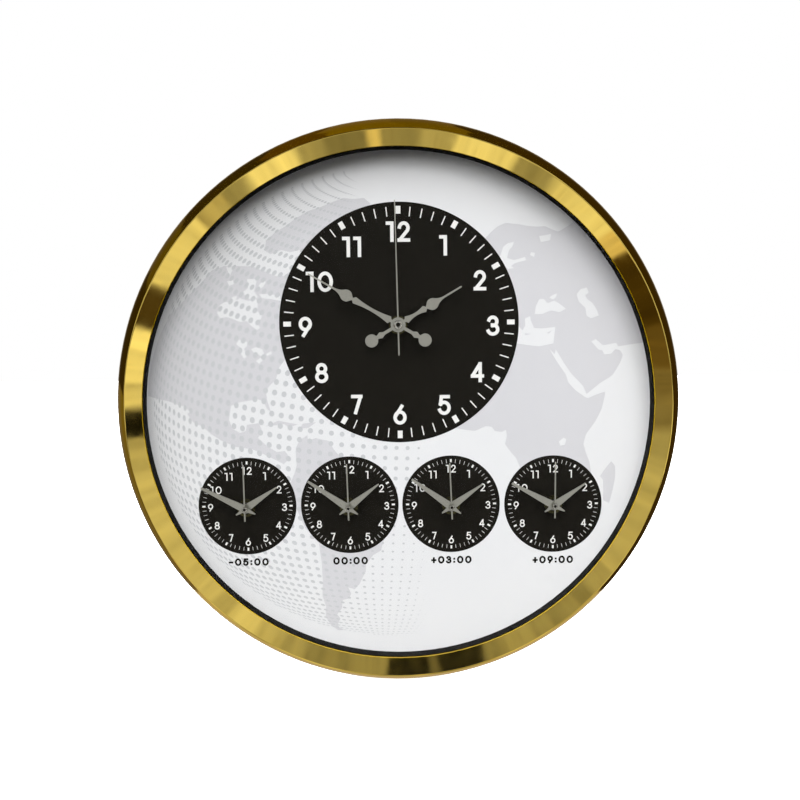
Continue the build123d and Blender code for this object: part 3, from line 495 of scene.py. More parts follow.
class Shop:
    """Makes mesh pieces from outlines and fits them to the frame."""

    made = 0

    @classmethod
    def piece(cls, name: str, verts: Sequence[Sequence[float]], faces: Sequence[Sequence[int]], body: str,
              finish: Finish, smooth: bool = False) -> bpy.types.Object:
        """Makes a piece from vertices and faces.

        Args:
            name: The piece's name.
            verts: Places in metres.
            faces: Loops of vertex numbers.
            body: The body that it rides on.
            finish: Its finish.
            smooth: Whether its faces are shaded smooth.

        Returns:
            The new object.
        """
        mesh = bpy.data.meshes.new(name)
        mesh.from_pydata(verts, [], faces)
        mesh.validate()
        if smooth:
            mesh.shade_smooth()
        return cls.keep(mesh, body, finish)

    @classmethod
    def keep(cls, mesh: bpy.types.Mesh, body: str, finish: Finish) -> bpy.types.Object:
        """Puts a finished mesh in the scene, as a piece that rides on a body.

        Args:
            mesh: The mesh, whose name becomes the piece's.
            body: The body that it rides on.
            finish: Its finish.

        Returns:
            The new object.
        """
        made = bpy.data.objects.new(mesh.name, mesh)
        bpy.context.scene.collection.objects.link(made)
        finish.dress(made)
        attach(made, body)
        cls.made += 1
        log.info("%s: %d faces on %s", mesh.name, len(mesh.polygons), body)
        return made

    @classmethod
    def print_layer(cls, name: str, outlines: Sequence[Outline], depth: float, finish: Finish,
                    merged: bool = True) -> bpy.types.Object:
        """Lays a printed layer of filled outlines on the dial.

        Args:
            name: The layer's name.
            outlines: Filled outlines in mm, seen from the front.
            depth: Its distance from the wall in mm.
            finish: Its ink.
            merged: Whether outlines that overlap are joined.

        Returns:
            The layer as one piece.
        """
        spots, faces = cls.gathered(outlines)
        if merged:
            spots, faces = cls.joined(spots, faces)
        verts = [(x * MM, -depth * MM, z * MM) for x, z in spots]
        return cls.piece(name, verts, cls.anticlockwise(spots, faces), "clock", finish)

    @staticmethod
    def gathered(outlines: Sequence[Outline]) -> tuple[list[Point], list[list[int]]]:
        """Lists the points of some outlines together.

        Args:
            outlines: Outlines in mm.

        Returns:
            The points, and each outline as numbers of those points.
        """
        spots: list[Point] = []
        loops = []
        for outline in outlines:
            loops.append(list(range(len(spots), len(spots) + len(outline))))
            spots.extend(outline)
        return spots, loops

    @classmethod
    def anticlockwise(cls, spots: Sequence[Point], loops: Sequence[Sequence[int]]) -> list[list[int]]:
        """The loops, with those that run clockwise turned round."""
        return [list(loop if cls.area([spots[i] for i in loop]) > 0 else reversed(loop)) for loop in loops]

    @classmethod
    def joined(cls, spots: Sequence[Point], loops: Sequence[Sequence[int]]) -> tuple[list[Point], list[list[int]]]:
        """Joins outlines that overlap, and keeps the holes between them.

        Args:
            spots: Corner points in mm.
            loops: The outlines, as numbers of those points.

        Returns:
            Points and triangles of the joined shape.
        """
        flat, _, faces, _, _, owners = delaunay_2d_cdt([Vector(p) for p in spots], [],
                                                       cls.anticlockwise(spots, loops), 0, WELD)
        return [(p.x, p.y) for p in flat], [face for face, owner in zip(faces, owners) if owner]

    @staticmethod
    def area(outline: Sequence[Point]) -> float:
        """Signed area, above 0 where the outline runs anticlockwise."""
        return sum(a[0] * b[1] - b[0] * a[1] for a, b in zip(outline, [*outline[1:], outline[0]])) / 2

    @classmethod
    def lathe(cls, name: str, section: Sequence[Point], centre: Point, body: str, finish: Finish,
              count: int = 48) -> bpy.types.Object:
        """Turns a section round an axis through the dial.

        Args:
            name: The piece's name.
            section: Points of radius and depth in mm, from the rear to the front.
            centre: Where the axis meets the dial, in mm.
            body: The body that it rides on.
            finish: Its finish.
            count: Steps round the axis.

        Returns:
            The new object.
        """
        verts, faces = [], []
        for radius, depth in section:
            for step in range(count):
                x, z = polar(radius, HOURS * step / count)
                verts.append(((centre[0] + x) * MM, -depth * MM, (centre[1] + z) * MM))
        for ring in range(len(section) - 1):
            for step in range(count):
                following = (step + 1) % count
                base = ring * count
                faces.append((base + step, base + following, base + count + following, base + count + step))
        return cls.piece(name, verts, faces, body, finish, smooth=True)

    @classmethod
    def raised(cls, name: str, outlines: Sequence[Outline], rear: float, front: float, body: str,
               finish: Finish) -> bpy.types.Object:
        """Raises flat outlines between two depths.

        Args:
            name: The piece's name.
            outlines: Filled outlines in mm, joined where they overlap.
            rear: Depth of the side against the wall.
            front: Depth of the side towards the viewer.
            body: The body that it rides on.
            finish: Its finish.

        Returns:
            The new object.
        """
        flat, faces = cls.joined(*cls.gathered(outlines))
        count = len(flat)
        runs = {(a, b) for face in faces for a, b in zip(face, [*face[1:], face[0]])}
        walls = [(a, b, b + count, a + count) for a, b in sorted(runs) if (b, a) not in runs]
        caps = [*(tuple(reversed(face)) for face in faces), *(tuple(i + count for i in face) for face in faces)]
        verts = [(x * MM, -depth * MM, z * MM) for depth in (rear, front) for x, z in flat]
        return cls.piece(name, verts, [*caps, *walls], body, finish)


@dataclass(frozen=True)
class Lettering:
    """Bold rounded-square figures drawn as strokes of one width."""

    height: float
    stroke: float
    width_share: float = 0.66
    gap_share: float = 0.18
    steps: int = 28
    least_mitre: float = 0.35
    end_share: float = 0.999

    def arc(self, x: float, z: float, wide: float, tall: float, start: float, end: float) -> Outline:
        """Points along part of an ellipse.

        Args:
            x: Centre, to the right.
            z: Centre, upwards.
            wide: Half width.
            tall: Half height.
            start: First angle, in degrees anticlockwise from the right.
            end: Last angle.

        Returns:
            The points in order.
        """
        count = max(3, round(abs(end - start) / 360 * self.steps))
        turns = [math.radians(start + (end - start) * i / count) for i in range(count + 1)]
        return [(x + wide * math.cos(t), z + tall * math.sin(t)) for t in turns]

    def figure(self, sign: str) -> tuple[float, list[Outline]]:
        """The strokes of one sign.

        Args:
            sign: A digit, a colon, a plus or a minus.

        Returns:
            Its width as a share of the common width, and its centre lines in a unit square.
        """
        arc = self.arc
        signs: dict[str, tuple[float, list[Outline]]] = {
            "0": (1.22, [arc(0.5, 0.5, 0.5, 0.5, 0, 360)]),
            "1": (0.4, [[(1.0, 1.0), (1.0, 0.0)], [(-0.1, 1.0), (1.0, 1.0)]]),
            "2": (0.94, [[*arc(0.5, 0.72, 0.46, 0.28, 170, -35), (0.2, 0.1)], [(0.0, 0.0), (1.0, 0.0)]]),
            "3": (0.95, [arc(0.46, 0.75, 0.43, 0.25, 160, -90), arc(0.46, 0.27, 0.52, 0.27, 95, -160)]),
            "4": (1.0, [[(0.78, 0.0), (0.78, 1.0)], [(0.68, 0.93), (0.05, 0.33)], [(0.0, 0.27), (1.0, 0.27)]]),
            "5": (1.0, [[(0.9, 1.0), (0.2, 1.0), (0.12, 0.56)],
                        [(0.12, 0.56), *arc(0.48, 0.33, 0.5, 0.33, 120, -155)]]),
            "6": (1.0, [arc(0.5, 0.33, 0.5, 0.33, 0, 360), [(0.68, 1.0), (0.06, 0.42)]]),
            "7": (0.82, [[(0.0, 1.0), (1.0, 1.0)], [(0.94, 0.96), (0.34, 0.03)]]),
            "8": (0.98, [arc(0.5, 0.76, 0.41, 0.24, 0, 360), arc(0.5, 0.27, 0.5, 0.27, 0, 360)]),
            "9": (1.0, [arc(0.5, 0.67, 0.5, 0.33, 0, 360), [(0.32, 0.0), (0.94, 0.58)]]),
            ":": (0.1, [[(0.5, 0.12), (0.5, 0.13)], [(0.5, 0.66), (0.5, 0.67)]]),
            "+": (0.85, [[(0.0, 0.45), (1.0, 0.45)], [(0.5, 0.1), (0.5, 0.8)]]),
            "-": (0.7, [[(0.0, 0.45), (1.0, 0.45)]]),
        }
        return signs[sign]

    def ribbon(self, line: Outline) -> list[Outline]:
        """Gives a centre line the stroke's width, as quads with mitred joints.

        Args:
            line: The centre line in mm.

        Returns:
            One quad for each run.
        """
        closed = math.dist(line[0], line[-1]) < WELD
        points = [Vector(p) for p in (line[:-1] if closed else line)]
        count = len(points)
        half = self.stroke / 2
        sides = []
        for index, point in enumerate(points):
            before = points[index - 1] if closed or index else None
            after = points[(index + 1) % count] if closed or index < count - 1 else None
            come = (point - before).normalized() if before is not None else (after - point).normalized()
            leave = (after - point).normalized() if after is not None else come
            normal = Vector((-(come + leave).y, (come + leave).x)).normalized()
            stretch = half / max(self.least_mitre, normal.dot(Vector((-come.y, come.x))))
            reach = Vector((0.0, 0.0))
            if before is None or after is None:
                reach = come * half * (self.end_share if after is None else -self.end_share)
            sides.append((point + normal * stretch + reach, point - normal * stretch + reach))
        runs = count if closed else count - 1
        quads = []
        for index in range(runs):
            (a, b), (c, d) = sides[index], sides[(index + 1) % count]
            quads.append([tuple(a), tuple(b), tuple(d), tuple(c)])
        return quads

    def word(self, text: str, centre: Point) -> list[Outline]:
        """Sets a short word about a centre.

        Args:
            text: Its signs.
            centre: The middle of the word, in mm.

        Returns:
            Filled outlines, which may overlap.
        """
        tall = self.height - self.stroke
        full = self.height * self.width_share - self.stroke
        gap = self.height * self.gap_share
        shapes = [self.figure(sign) for sign in text]
        widths = [full * share for share, _ in shapes]
        total = sum(widths) + len(text) * self.stroke + gap * (len(text) - 1)
        left = centre[0] - total / 2 + self.stroke / 2
        outlines: list[Outline] = []
        for (_, lines), width in zip(shapes, widths):
            for line in lines:
                placed = [(left + u * width, centre[1] + (v - 0.5) * tall) for u, v in line]
                outlines.extend(self.ribbon(placed))
            left += width + self.stroke + gap
        return outlines


# The print on the dial


# Places of the figures 1 to 12, as shares of the figures' reach
FIGURE_PLACES = ((0.489, 0.837), (0.886, 0.456), (1.03, -0.038), (0.855, -0.546), (0.489, -0.903), (0, -1.005),
                 (-0.473, -0.891), (-0.855, -0.538), (-1.025, -0.032), (-0.861, 0.456), (-0.505, 0.829), (0, 0.989))


@dataclass
class ScaleRing:
    """One black dial face: its disc, its ring of minute marks and its figures."""

    centre: Point
    radius: float
    ring_outer: float
    block_length: float
    block_width: float
    tick_outer: float
    tick_length: float
    tick_width: float
    figure_reach: float
    figures: Lettering
    disc_sides: int = 180

    def disc(self) -> Outline:
        """The black disc's outline."""
        return [self.at(polar(self.radius, -HOURS * step / self.disc_sides)) for step in range(self.disc_sides)]

    def at(self, point: Point) -> Point:
        """A point of the face, moved to its place on the dial."""
        return self.centre[0] + point[0], self.centre[1] + point[1]

    def bar(self, hour: float, outer: float, length: float, width: float) -> Outline:
        """A radial bar's outline.

        Args:
            hour: Clock hour that it points to.
            outer: Radius of its outer end, in mm.
            length: Its length.
            width: Its width.

        Returns:
            Its four corners.
        """
        turn = math.tau * hour / HOURS
        out = (math.sin(turn), math.cos(turn))
        side = (out[1], -out[0])
        corners = [(outer, -1), (outer, 1), (outer - length, 1), (outer - length, -1)]
        return [self.at((out[0] * r + side[0] * s * width / 2, out[1] * r + side[1] * s * width / 2))
                for r, s in corners]

    def marks(self) -> list[Outline]:
        """All bars of the minute ring.

        Returns:
            One outline for each of the sixty minutes.
        """
        bars = []
        for minute in range(60):
            hour = minute / 5
            if minute % 5:
                bars.append(self.bar(hour, self.tick_outer, self.tick_length, self.tick_width))
            else:
                bars.append(self.bar(hour, self.ring_outer, self.block_length, self.block_width))
        return bars

    def numbers(self) -> list[Outline]:
        """The twelve hour figures, upright.

        Returns:
            Filled outlines, which may overlap.
        """
        outlines = []
        for hour, (x, z) in enumerate(FIGURE_PLACES, 1):
            place = self.at((x * self.figure_reach, z * self.figure_reach))
            outlines.extend(self.figures.word(str(hour), place))
        return outlines


@dataclass(frozen=True)
class Globe:
    """A globe seen from far off, printed on the dial."""

    centre: Point
    radius: float
    longitude: float
    latitude: float
    lean: float
    slim: float = 1.0
    horizon: float = 0.12

    def seen(self, longitude: float, latitude: float) -> tuple[float, float, float]:
        """Where a place on an upright globe is.

        Args:
            longitude: Degrees east.
            latitude: Degrees north.

        Returns:
            Shares of the radius to the right, upwards and towards the viewer.
        """
        high, mid = math.radians(latitude), math.radians(self.latitude)
        along = math.radians(longitude - self.longitude)
        return (math.cos(high) * math.sin(along),
                math.cos(mid) * math.sin(high) - math.sin(mid) * math.cos(high) * math.cos(along),
                math.sin(mid) * math.sin(high) + math.cos(mid) * math.cos(high) * math.cos(along))

    def spot(self, longitude: float, latitude: float) -> Point:
        """Where a place on the globe falls on the dial.

        Args:
            longitude: Degrees east.
            latitude: Degrees north.

        Returns:
            Its point in mm, on the rim where the place is on the far side.
        """
        x, z, near = self.seen(longitude, latitude)
        if near < 0:
            size = math.hypot(x, z) or 1.0
            x, z = x / size, z / size
        x *= self.slim
        roll = math.radians(self.lean)
        return (self.centre[0] + self.radius * (x * math.cos(roll) - z * math.sin(roll)),
                self.centre[1] + self.radius * (x * math.sin(roll) + z * math.cos(roll)))

    def faces_us(self, longitude: float, latitude: float) -> bool:
        """Whether a place is well on the near side."""
        return self.seen(longitude, latitude)[2] > self.horizon

    def draw(self, coast: Sequence[Point], step: float = 3.0) -> Outline:
        """Draws a coast with its runs divided so that they bend with the globe.

        Args:
            coast: Corners as degrees east and north.
            step: Longest run in degrees.

        Returns:
            The outline in mm.
        """
        outline: Outline = []
        for (a, b), (c, d) in zip(coast, [*coast[1:], coast[0]]):
            count = max(1, round(max(abs(c - a), abs(d - b)) / step))
            outline.extend(self.spot(a + (c - a) * i / count, b + (d - b) * i / count) for i in range(count))
        return outline


# Coasts and waters as degrees east and north, traced so that only their large bends are true
OLD_WORLD = (
    ((-5.9, 35.8), (-2, 35.1), (3, 36.9), (10, 37.3), (11, 35), (10, 34), (12, 33), (15.5, 32.3), (19, 30.3),
     (20, 32.5), (25, 31.7), (29, 31), (32.3, 31.3), (32.6, 29.9), (34, 27), (35.5, 24), (37.2, 21), (37.5, 18.5),
     (39.5, 15.5), (42.4, 12.6), (43.1, 12.2), (45.6, 12.7), (49, 13), (48.9, 12.2), (46.9, 7.6), (44.1, 3.8),
     (40.7, 0.3), (39.4, -3.1), (39.8, -6.6), (40.5, -9.9), (40.7, -15), (37, -17.8), (34.8, -20), (35.5, -24),
     (32.8, -26), (32.5, -28.5), (30, -31.3), (27, -33.7), (22, -34.2), (19, -31.5), (18.5, -27), (18.4, -22.5),
     (18.2, -17.5), (18, -12), (17.7, -9.5), (17, -5.9), (15.2, -2.9), (14.1, -0.7), (15.2, 2.2), (15.1, 4.3),
     (13.5, 3.6), (11.3, 3.8), (10.4, 5.2), (8.4, 5.4), (6.5, 4.5), (4.1, 3.3), (-4.5, 3.2), (-11, 6.8), (-13.3, 9),
     (-15, 11), (-16.8, 13), (-17.4, 14.8), (-16.3, 18), (-17, 21), (-14.5, 26), (-12.5, 28), (-9.7, 30),
     (-9.3, 32.5)),
    ((-5.5, 36.1), (-8.9, 37), (-8.8, 43.2), (-4.6, 48.3), (-10, 56), (-14.4, 63.5), (-16, 65.8), (-16.3, 68.4),
     (-15.5, 72), (-9.5, 74.5), (8.6, 74.8), (31.6, 73.4), (39.8, 73.1), (50.1, 69.5), (67, 71), (87, 75),
     (104, 77.7), (125, 73), (140, 72.5), (140, 50), (122, 30), (110, 20), (108, 12), (100, 8), (98, 16),
     (92, 22), (87, 21.5), (80, 15), (77.5, 8), (73, 17), (72.7, 21), (70, 21), (68, 23.7), (61.5, 25.1),
     (57.3, 25.7), (57, 27), (52, 27.5), (50, 30), (48.2, 29.7), (50, 26.6), (51.3, 26), (51.6, 24.6), (54, 24.2),
     (56, 25.2), (57.5, 24.4), (58, 22.6), (56.3, 20.6), (52.7, 17.5), (48, 16.1), (42.9, 13.6), (42.2, 16.5),
     (39, 21), (37, 25), (34.9, 29.4), (34.3, 27.9), (32.6, 29.9),
     (32.3, 31.3), (34.3, 31.4), (35.9, 36.5), (30.5, 36.6), (27.5, 37), (26.3, 39.5), (26.2, 40.3), (26, 40.9),
     (23.8, 40.2), (24, 38), (22.8, 36.5), (21.3, 37.8), (19.4, 41.8), (13.7, 45.5), (12.4, 44.2), (16, 41.8),
     (18.4, 40.1), (16.8, 40), (16, 38), (15.6, 40), (12.3, 41.7), (8.9, 44.3), (5, 43.3), (3.2, 42),
     (-0.2, 39.7), (-0.8, 37.8), (-2, 36.8)),
    ((47.7, -11.9), (48.9, -14.3), (48.6, -19.5), (47.4, -26), (46.3, -31.7), (44, -29.1), (44.4, -19.1),
     (43.5, -17.1), (45, -14.9)),
    ((12.5, 38), (15.5, 38.2), (15, 36.7)),
    ((8.3, 39), (9.7, 39.3), (9.5, 42.8), (8.6, 42), (8.2, 40.8)),
    ((23.6, 35.5), (26.3, 35.2), (24, 34.9)),
    ((32.3, 35), (34.5, 35.6), (33, 34.6)),
)
OLD_WORLD_WATER = (
    ((5, 61.1), (4, 64.9), (6.6, 66.6), (11.4, 67.2), (11.2, 65.2), (9.7, 64), (10.2, 61), (15.3, 60.3),
     (22.4, 61.4), (23.3, 60.2), (16.4, 59.2), (14.2, 58.1), (16.4, 57.4), (12.8, 57), (7.9, 59)),
    ((32.6, 69.2), (43.4, 69.2), (41.2, 66.8), (33.9, 66.6)),
    ((26.3, 63.1), (29.1, 62.6), (28.4, 61.1), (25.7, 62)),
    ((28, 41.4), (31, 41.2), (35, 42), (38.5, 41), (41.5, 41.7), (39, 43.8), (37, 45), (34, 44.5), (32.5, 46),
     (30.5, 46.2), (28.7, 44)),
    ((35, 46.3), (37, 47), (38.9, 47.2), (38, 46), (36.5, 45.4)),
    ((47.5, 45.5), (50, 46.9), (53, 46.8), (53, 45), (51, 44.5), (51.5, 43), (53, 41.5), (53.8, 39), (53.9, 37),
     (50.5, 36.8), (49, 38), (49.5, 40.5), (47.5, 43)),
    ((31.8, -0.8), (33.5, 0.3), (34.2, -0.5), (33.5, -2.3), (32, -2.4)),
)
NORTH_WEST = (
    ((-122.2, 61.4), (-116.8, 66.2), (-110.7, 71.3), (-99, 73.1), (-83.6, 72.9), (-69.8, 71.7), (-61.7, 68.7),
     (-55.5, 65.4), (-50.8, 64.1), (-43.8, 64.1), (-35.7, 64.1), (-39.7, 49.6), (-48.2, 42.7), (-67.2, 42.8),
     (-71.3, 40.7), (-73.7, 39.4), (-76.3, 36.1), (-79, 35), (-81.1, 33.5), (-81.6, 30.6), (-81.5, 26.5),
     (-82.5, 27.7), (-83.1, 30.5), (-85.1, 31.4), (-88.5, 31.2), (-91.5, 31), (-95.2, 29.8), (-96.9, 25),
     (-96.1, 21.9), (-94, 20.4), (-91.8, 21.1), (-90.9, 23.2), (-86.6, 23.4), (-86.4, 20.5), (-88.4, 18.2),
     (-86.1, 14.4), (-83.9, 12), (-81.4, 11.8), (-80.7, 8.7), (-83.3, 6.7), (-87.2, 10.9), (-91.5, 14.2),
     (-96.7, 15.2), (-101, 17.2), (-104.5, 19.4), (-107, 21.6), (-110.7, 22.6), (-113.2, 25.6), (-116.4, 27.2),
     (-120.8, 27.1), (-125.4, 26.1), (-130.3, 24.9), (-130.6, 37.6), (-130.1, 46.4), (-128.7, 53.6)),
    ((-28.3, 66.5), (-34.5, 68.5), (-38.2, 71), (-48.6, 72.3), (-50.9, 74.5), (-40.4, 76.7), (-24.5, 76.1),
     (-9, 73.6), (-0.1, 71.7), (8.6, 68.2), (11.9, 65.1), (16.7, 61.2), (21, 56.6), (20.7, 53.4), (22.2, 49.6),
     (19.5, 48), (12.3, 48), (10.6, 52.1)),
    ((-84.8, 22), (-80, 23.1), (-74.3, 20.2), (-77.5, 19.9), (-78.5, 21.5)),
    ((-74.3, 18.5), (-72.7, 19.9), (-68.5, 18.8), (-71.5, 17.8)),
)
SOUTH_WEST = (
    ((-77.4, 8.6), (-75.5, 10.7), (-71.7, 12.3), (-71.5, 10.8), (-68, 11.5), (-62, 10.7), (-60, 8.3), (-57, 6),
     (-51.5, 4.3), (-50, 1), (-48, -0.8), (-44.3, -2.7), (-40, -2.9), (-35.3, -5.2), (-35, -9), (-38.8, -13),
     (-39.3, -18), (-41, -22), (-44.8, -23.2), (-48.5, -26), (-48.7, -28.5), (-52.3, -33), (-54.8, -34.9),
     (-58.3, -34), (-57, -36.5), (-58.5, -38.6), (-62.2, -39), (-63.5, -42.7), (-67.3, -45.8), (-65.8, -47.8),
     (-69, -51.5), (-68.3, -53), (-65.3, -54.8), (-70, -55), (-74, -52), (-75.5, -47), (-73, -42),
     (-73.5, -37.3), (-71.5, -32), (-70.3, -25), (-70.3, -18.5), (-76, -14), (-79.5, -7.7), (-81.3, -5),
     (-80, -3), (-80.8, -1), (-78.7, 1.5), (-77.3, 4), (-77.5, 7.5)),
)
NORTH_WEST_WATER = (
    ((-96.6, 72.8), (-85.8, 72.6), (-90, 71.5), (-91.8, 70), (-93.9, 71.3)),
    ((-94.2, 68.4), (-89, 68.6), (-88.3, 67.4), (-92.3, 66.9)),
    ((-77.1, 68.2), (-69.4, 67.2), (-72.9, 64.8), (-74.2, 64), (-72.7, 61.8), (-76.9, 61.5), (-80.4, 62.8),
     (-81.9, 64.5), (-77.8, 65.4)),
    ((-71.3, 63.9), (-69.5, 65.2), (-65.4, 66.2), (-64, 65.3), (-67.3, 64.2)),
    ((-71.5, 62.6), (-64.9, 61.4), (-59.9, 59.5), (-60.8, 58), (-65.5, 59.8), (-70.5, 61.1)),
    ((-90.1, 63.4), (-86.5, 63.6), (-87.4, 62.1), (-90.2, 61.9)),
    ((-99.8, 58.6), (-98.2, 61.1), (-94.9, 62), (-89.5, 61.9), (-84.6, 62.8), (-79.6, 61.5), (-74.3, 61.4),
     (-74, 59.8), (-75.6, 57.8), (-73.6, 56.2), (-74.7, 55.2), (-77.1, 54.9), (-76.5, 52.6), (-78.2, 52.3),
     (-80.7, 53.9), (-82.4, 55.6), (-86.3, 55.6), (-90.1, 56.7), (-93.5, 57.4), (-97.7, 57.1)),
    ((-89.6, 49.1), (-87.9, 50.3), (-84.2, 49.3), (-84.6, 48.1), (-86.2, 47.4), (-85.4, 45.1), (-86.9, 44.4),
     (-87.9, 46), (-87.5, 47.8)),
    ((-83, 47), (-80.6, 47.3), (-78.1, 46.3), (-77.8, 45), (-79.1, 44), (-80.4, 45.1), (-82, 45.7)),
    ((-82, 43.2), (-79.1, 44), (-78.4, 43.3), (-81, 42.1)),
    ((-77, 44.6), (-74.6, 45), (-74.6, 44.1), (-76.9, 43.9)),
    ((-115.6, 27.1), (-113.9, 27.5), (-111.5, 26), (-112.8, 25)),
)


@dataclass
class DialPrint:
    """Everything printed on the dial sheet, in thin layers over its front."""

    sheet_front: float = 26.0
    layer_step: float = 0.015
    print_edge: float = 176.4
    main_centre: Point = (0.7, 57.3)
    main_radius: float = 83.06
    zone_centres: tuple[Point, ...] = ((-107.0, -69.75), (-35.2, -69.65), (36.0, -69.75), (107.7, -70.45))
    zone_radius: float = 34.27
    offsets: tuple[str, ...] = ("-05:00", "00:00", "+03:00", "+09:00")
    offset_drop: float = 39.8
    east: Globe = Globe((113.5, 31.9), 125.9, 36.5, 26.4, 8.55)
    north_west: Globe = Globe((-73.6, 52.3), 131.0, -62.7, 48.3, 25.0)
    south_west: Globe = Globe((-37.8, -24.2), 148.5, -54.7, 10.6, 3.0, slim=0.615)
    lattice: Globe = Globe((-4.1, 3.1), 167.7, 0.0, 16.35, -2.4)
    lattice_steps: tuple[float, float] = (2.659, 2.557)
    lattice_phase: float = 0.458
    lattice_rows: range = range(-30, 36)
    lattice_columns: range = range(-34, 12)
    dot_sides: int = 10
    dot_fill: tuple[float, float] = (0.34, 0.4)
    dot_edge: float = 174.0
    least_dot: float = 0.5
    least_land: float = 1.0
    edge_sides: int = 72
    words: Lettering = Lettering(5.4, 1.3, width_share=0.74, gap_share=0.21)
    faces: list[ScaleRing] = field(default_factory=list)

    def __post_init__(self) -> None:
        """Lays out the five black faces."""
        self.faces.append(ScaleRing(
            self.main_centre, self.main_radius, ring_outer=80.2, block_length=5.3, block_width=3.4, tick_outer=79.9,
            tick_length=6.5, tick_width=0.75, figure_reach=63.4, figures=Lettering(14.0, 2.4)))
        for centre in self.zone_centres:
            self.faces.append(ScaleRing(
                centre, self.zone_radius, ring_outer=31.7, block_length=2.2, block_width=1.25, tick_outer=31.6,
                tick_length=2.6, tick_width=0.26, figure_reach=25.25,
                figures=Lettering(5.5, 0.8, gap_share=0.28)))

    def depth(self, layer: int) -> float:
        """Depth of a layer, counted up from the sheet."""
        return self.sheet_front + layer * self.layer_step

    def trimmed(self, outline: Outline) -> Outline:
        """Keeps the part of an outline inside the print's edge.

        Args:
            outline: Any outline in mm.

        Returns:
            The trimmed outline, empty where nothing is left.
        """
        def inside(p: Point, a: Point, b: Point) -> float:
            """Above 0 on the inner side of the edge from a to b."""
            return (b[0] - a[0]) * (p[1] - a[1]) - (b[1] - a[1]) * (p[0] - a[0])
        rim = [polar(self.print_edge, -HOURS * step / self.edge_sides) for step in range(self.edge_sides)]
        kept = outline
        for a, b in zip(rim, [*rim[1:], rim[0]]):
            cut: Outline = []
            for p, q in zip(kept, [*kept[1:], *kept[:1]]):
                here, there = inside(p, a, b), inside(q, a, b)
                if here >= 0:
                    cut.append(p)
                if here * there < 0:
                    share = here / (here - there)
                    cut.append((p[0] + (q[0] - p[0]) * share, p[1] + (q[1] - p[1]) * share))
            kept = cut
        return kept

    def chart(self, globe: Globe, coasts: Sequence[Sequence[Point]]) -> list[Outline]:
        """The coasts of one globe that fall on the dial."""
        drawn = [self.trimmed(globe.draw(coast)) for coast in coasts]
        return [outline for outline in drawn if len(outline) > 2 and abs(Shop.area(outline)) > self.least_land]

    @staticmethod
    def dot_width(x: float, z: float) -> float:
        """A dot's width, which shrinks towards the middle and further down.

        Args:
            x: The dot's place to the right, in mm.
            z: Its place upwards, in mm.

        Returns:
            Its width in mm, 0 where the screen ends.
        """
        inwards, low, high = share_of(x, -100, 0), share_of(-z, 55, 95), share_of(z, 0, 120)
        width = 4.4 - 1.4 * inwards - 1.3 * share_of(x, -75, -15) * low
        fade_end = 23 - 45 * high
        return width * share_of(fade_end - x, 0, 16) * max(0.3, share_of(205 - z, 0, 100))

    def dot_screen(self) -> list[Outline]:
        """The screen of dots over the left part, on a lattice bent like a globe.

        Returns:
            One small outline for each dot.
        """
        along, up = self.lattice_steps
        turns = [math.tau * corner / self.dot_sides for corner in range(self.dot_sides)]
        dots = []
        for row in self.lattice_rows:
            for column in self.lattice_columns:
                longitude, latitude = along * (column + self.lattice_phase), up * row
                x, z = self.lattice.spot(longitude, latitude)
                width = self.dot_width(x, z)
                if (width < self.least_dot or math.hypot(x, z) > self.dot_edge
                        or not self.lattice.faces_us(longitude, latitude)):
                    continue
                spread = min(math.degrees(width / 2 / self.lattice.radius), up * self.dot_fill[1])
                wide = min(spread / math.cos(math.radians(latitude)), along * self.dot_fill[0])
                dots.append([self.lattice.spot(longitude + wide * math.cos(t), latitude + spread * math.sin(t))
                             for t in turns])
        return dots

    def build(self) -> None:
        """Prints the layers in order, from the paper up."""
        land = [*self.chart(self.east, OLD_WORLD), *self.chart(self.north_west, NORTH_WEST),
                *self.chart(self.south_west, SOUTH_WEST)]
        water = self.chart(self.east, OLD_WORLD_WATER) + self.chart(self.north_west, NORTH_WEST_WATER)
        Shop.print_layer("map_land_print", land, self.depth(1), LAND)
        Shop.print_layer("map_lakes_print", water, self.depth(2), PAPER)
        Shop.print_layer("dot_screen_print", self.dot_screen(), self.depth(3), DOT_INK, merged=False)
        names = ("main_face_print", *(f"zone_{n}_face_print" for n in range(1, 5)))
        for name, face in zip(names, self.faces):
            Shop.print_layer(name, [face.disc()], self.depth(4), BLACK_INK, merged=False)
            Shop.print_layer(name.replace("face", "marks"), face.marks(), self.depth(5), WHITE_INK, merged=False)
            Shop.print_layer(name.replace("face", "figures"), face.numbers(), self.depth(5), WHITE_INK)
        words = []
        for text, (x, z) in zip(self.offsets, self.zone_centres):
            words.extend(self.words.word(text, (x, z - self.offset_drop)))
        Shop.print_layer("offset_words_print", words, self.depth(4), BLACK_INK)


@dataclass
class HubCollar:
    """Bright hollow collar on a second hand's cap, with a dark disc of painted shade in its bore."""

    name: str
    body: str
    hub: Point
    radius: float
    bore: float
    foot: float = 33.3
    crown: float = 34.72
    skirt: float = 0.12
    lip_share: float = 0.45
    pit_drop: float = 0.6

    def build(self) -> None:
        """Turns the collar, and a dark disc in its bore that is painted shade for the hollow's inside."""
        lip, wall = (self.radius - self.bore) * self.lip_share, self.radius + self.skirt
        drops = [(wall, self.crown - self.foot), (wall, 0.6), (self.radius - lip * 0.35, 0.2),
                 (self.radius - lip, 0.0), (self.bore + lip, 0.0), (self.bore + lip * 0.4, 0.2), (self.bore, 0.5),
                 (self.bore * 0.92, 0.7), (0.01, 0.72)]
        # A dark disc low in the bore: painted shade for the shadow inside the hollow cap
        shade_disc = [(self.bore * 0.95, self.pit_drop), (0.02, self.pit_drop + 0.05)]
        for name, profile, finish in ((self.name, drops, COLLAR), (self.name + "_pit", shade_disc, PIT_SHADE)):
            section = [(radius, self.crown - drop) for radius, drop in profile]
            Shop.lathe(name, section, self.hub, self.body, finish)


# Back and works


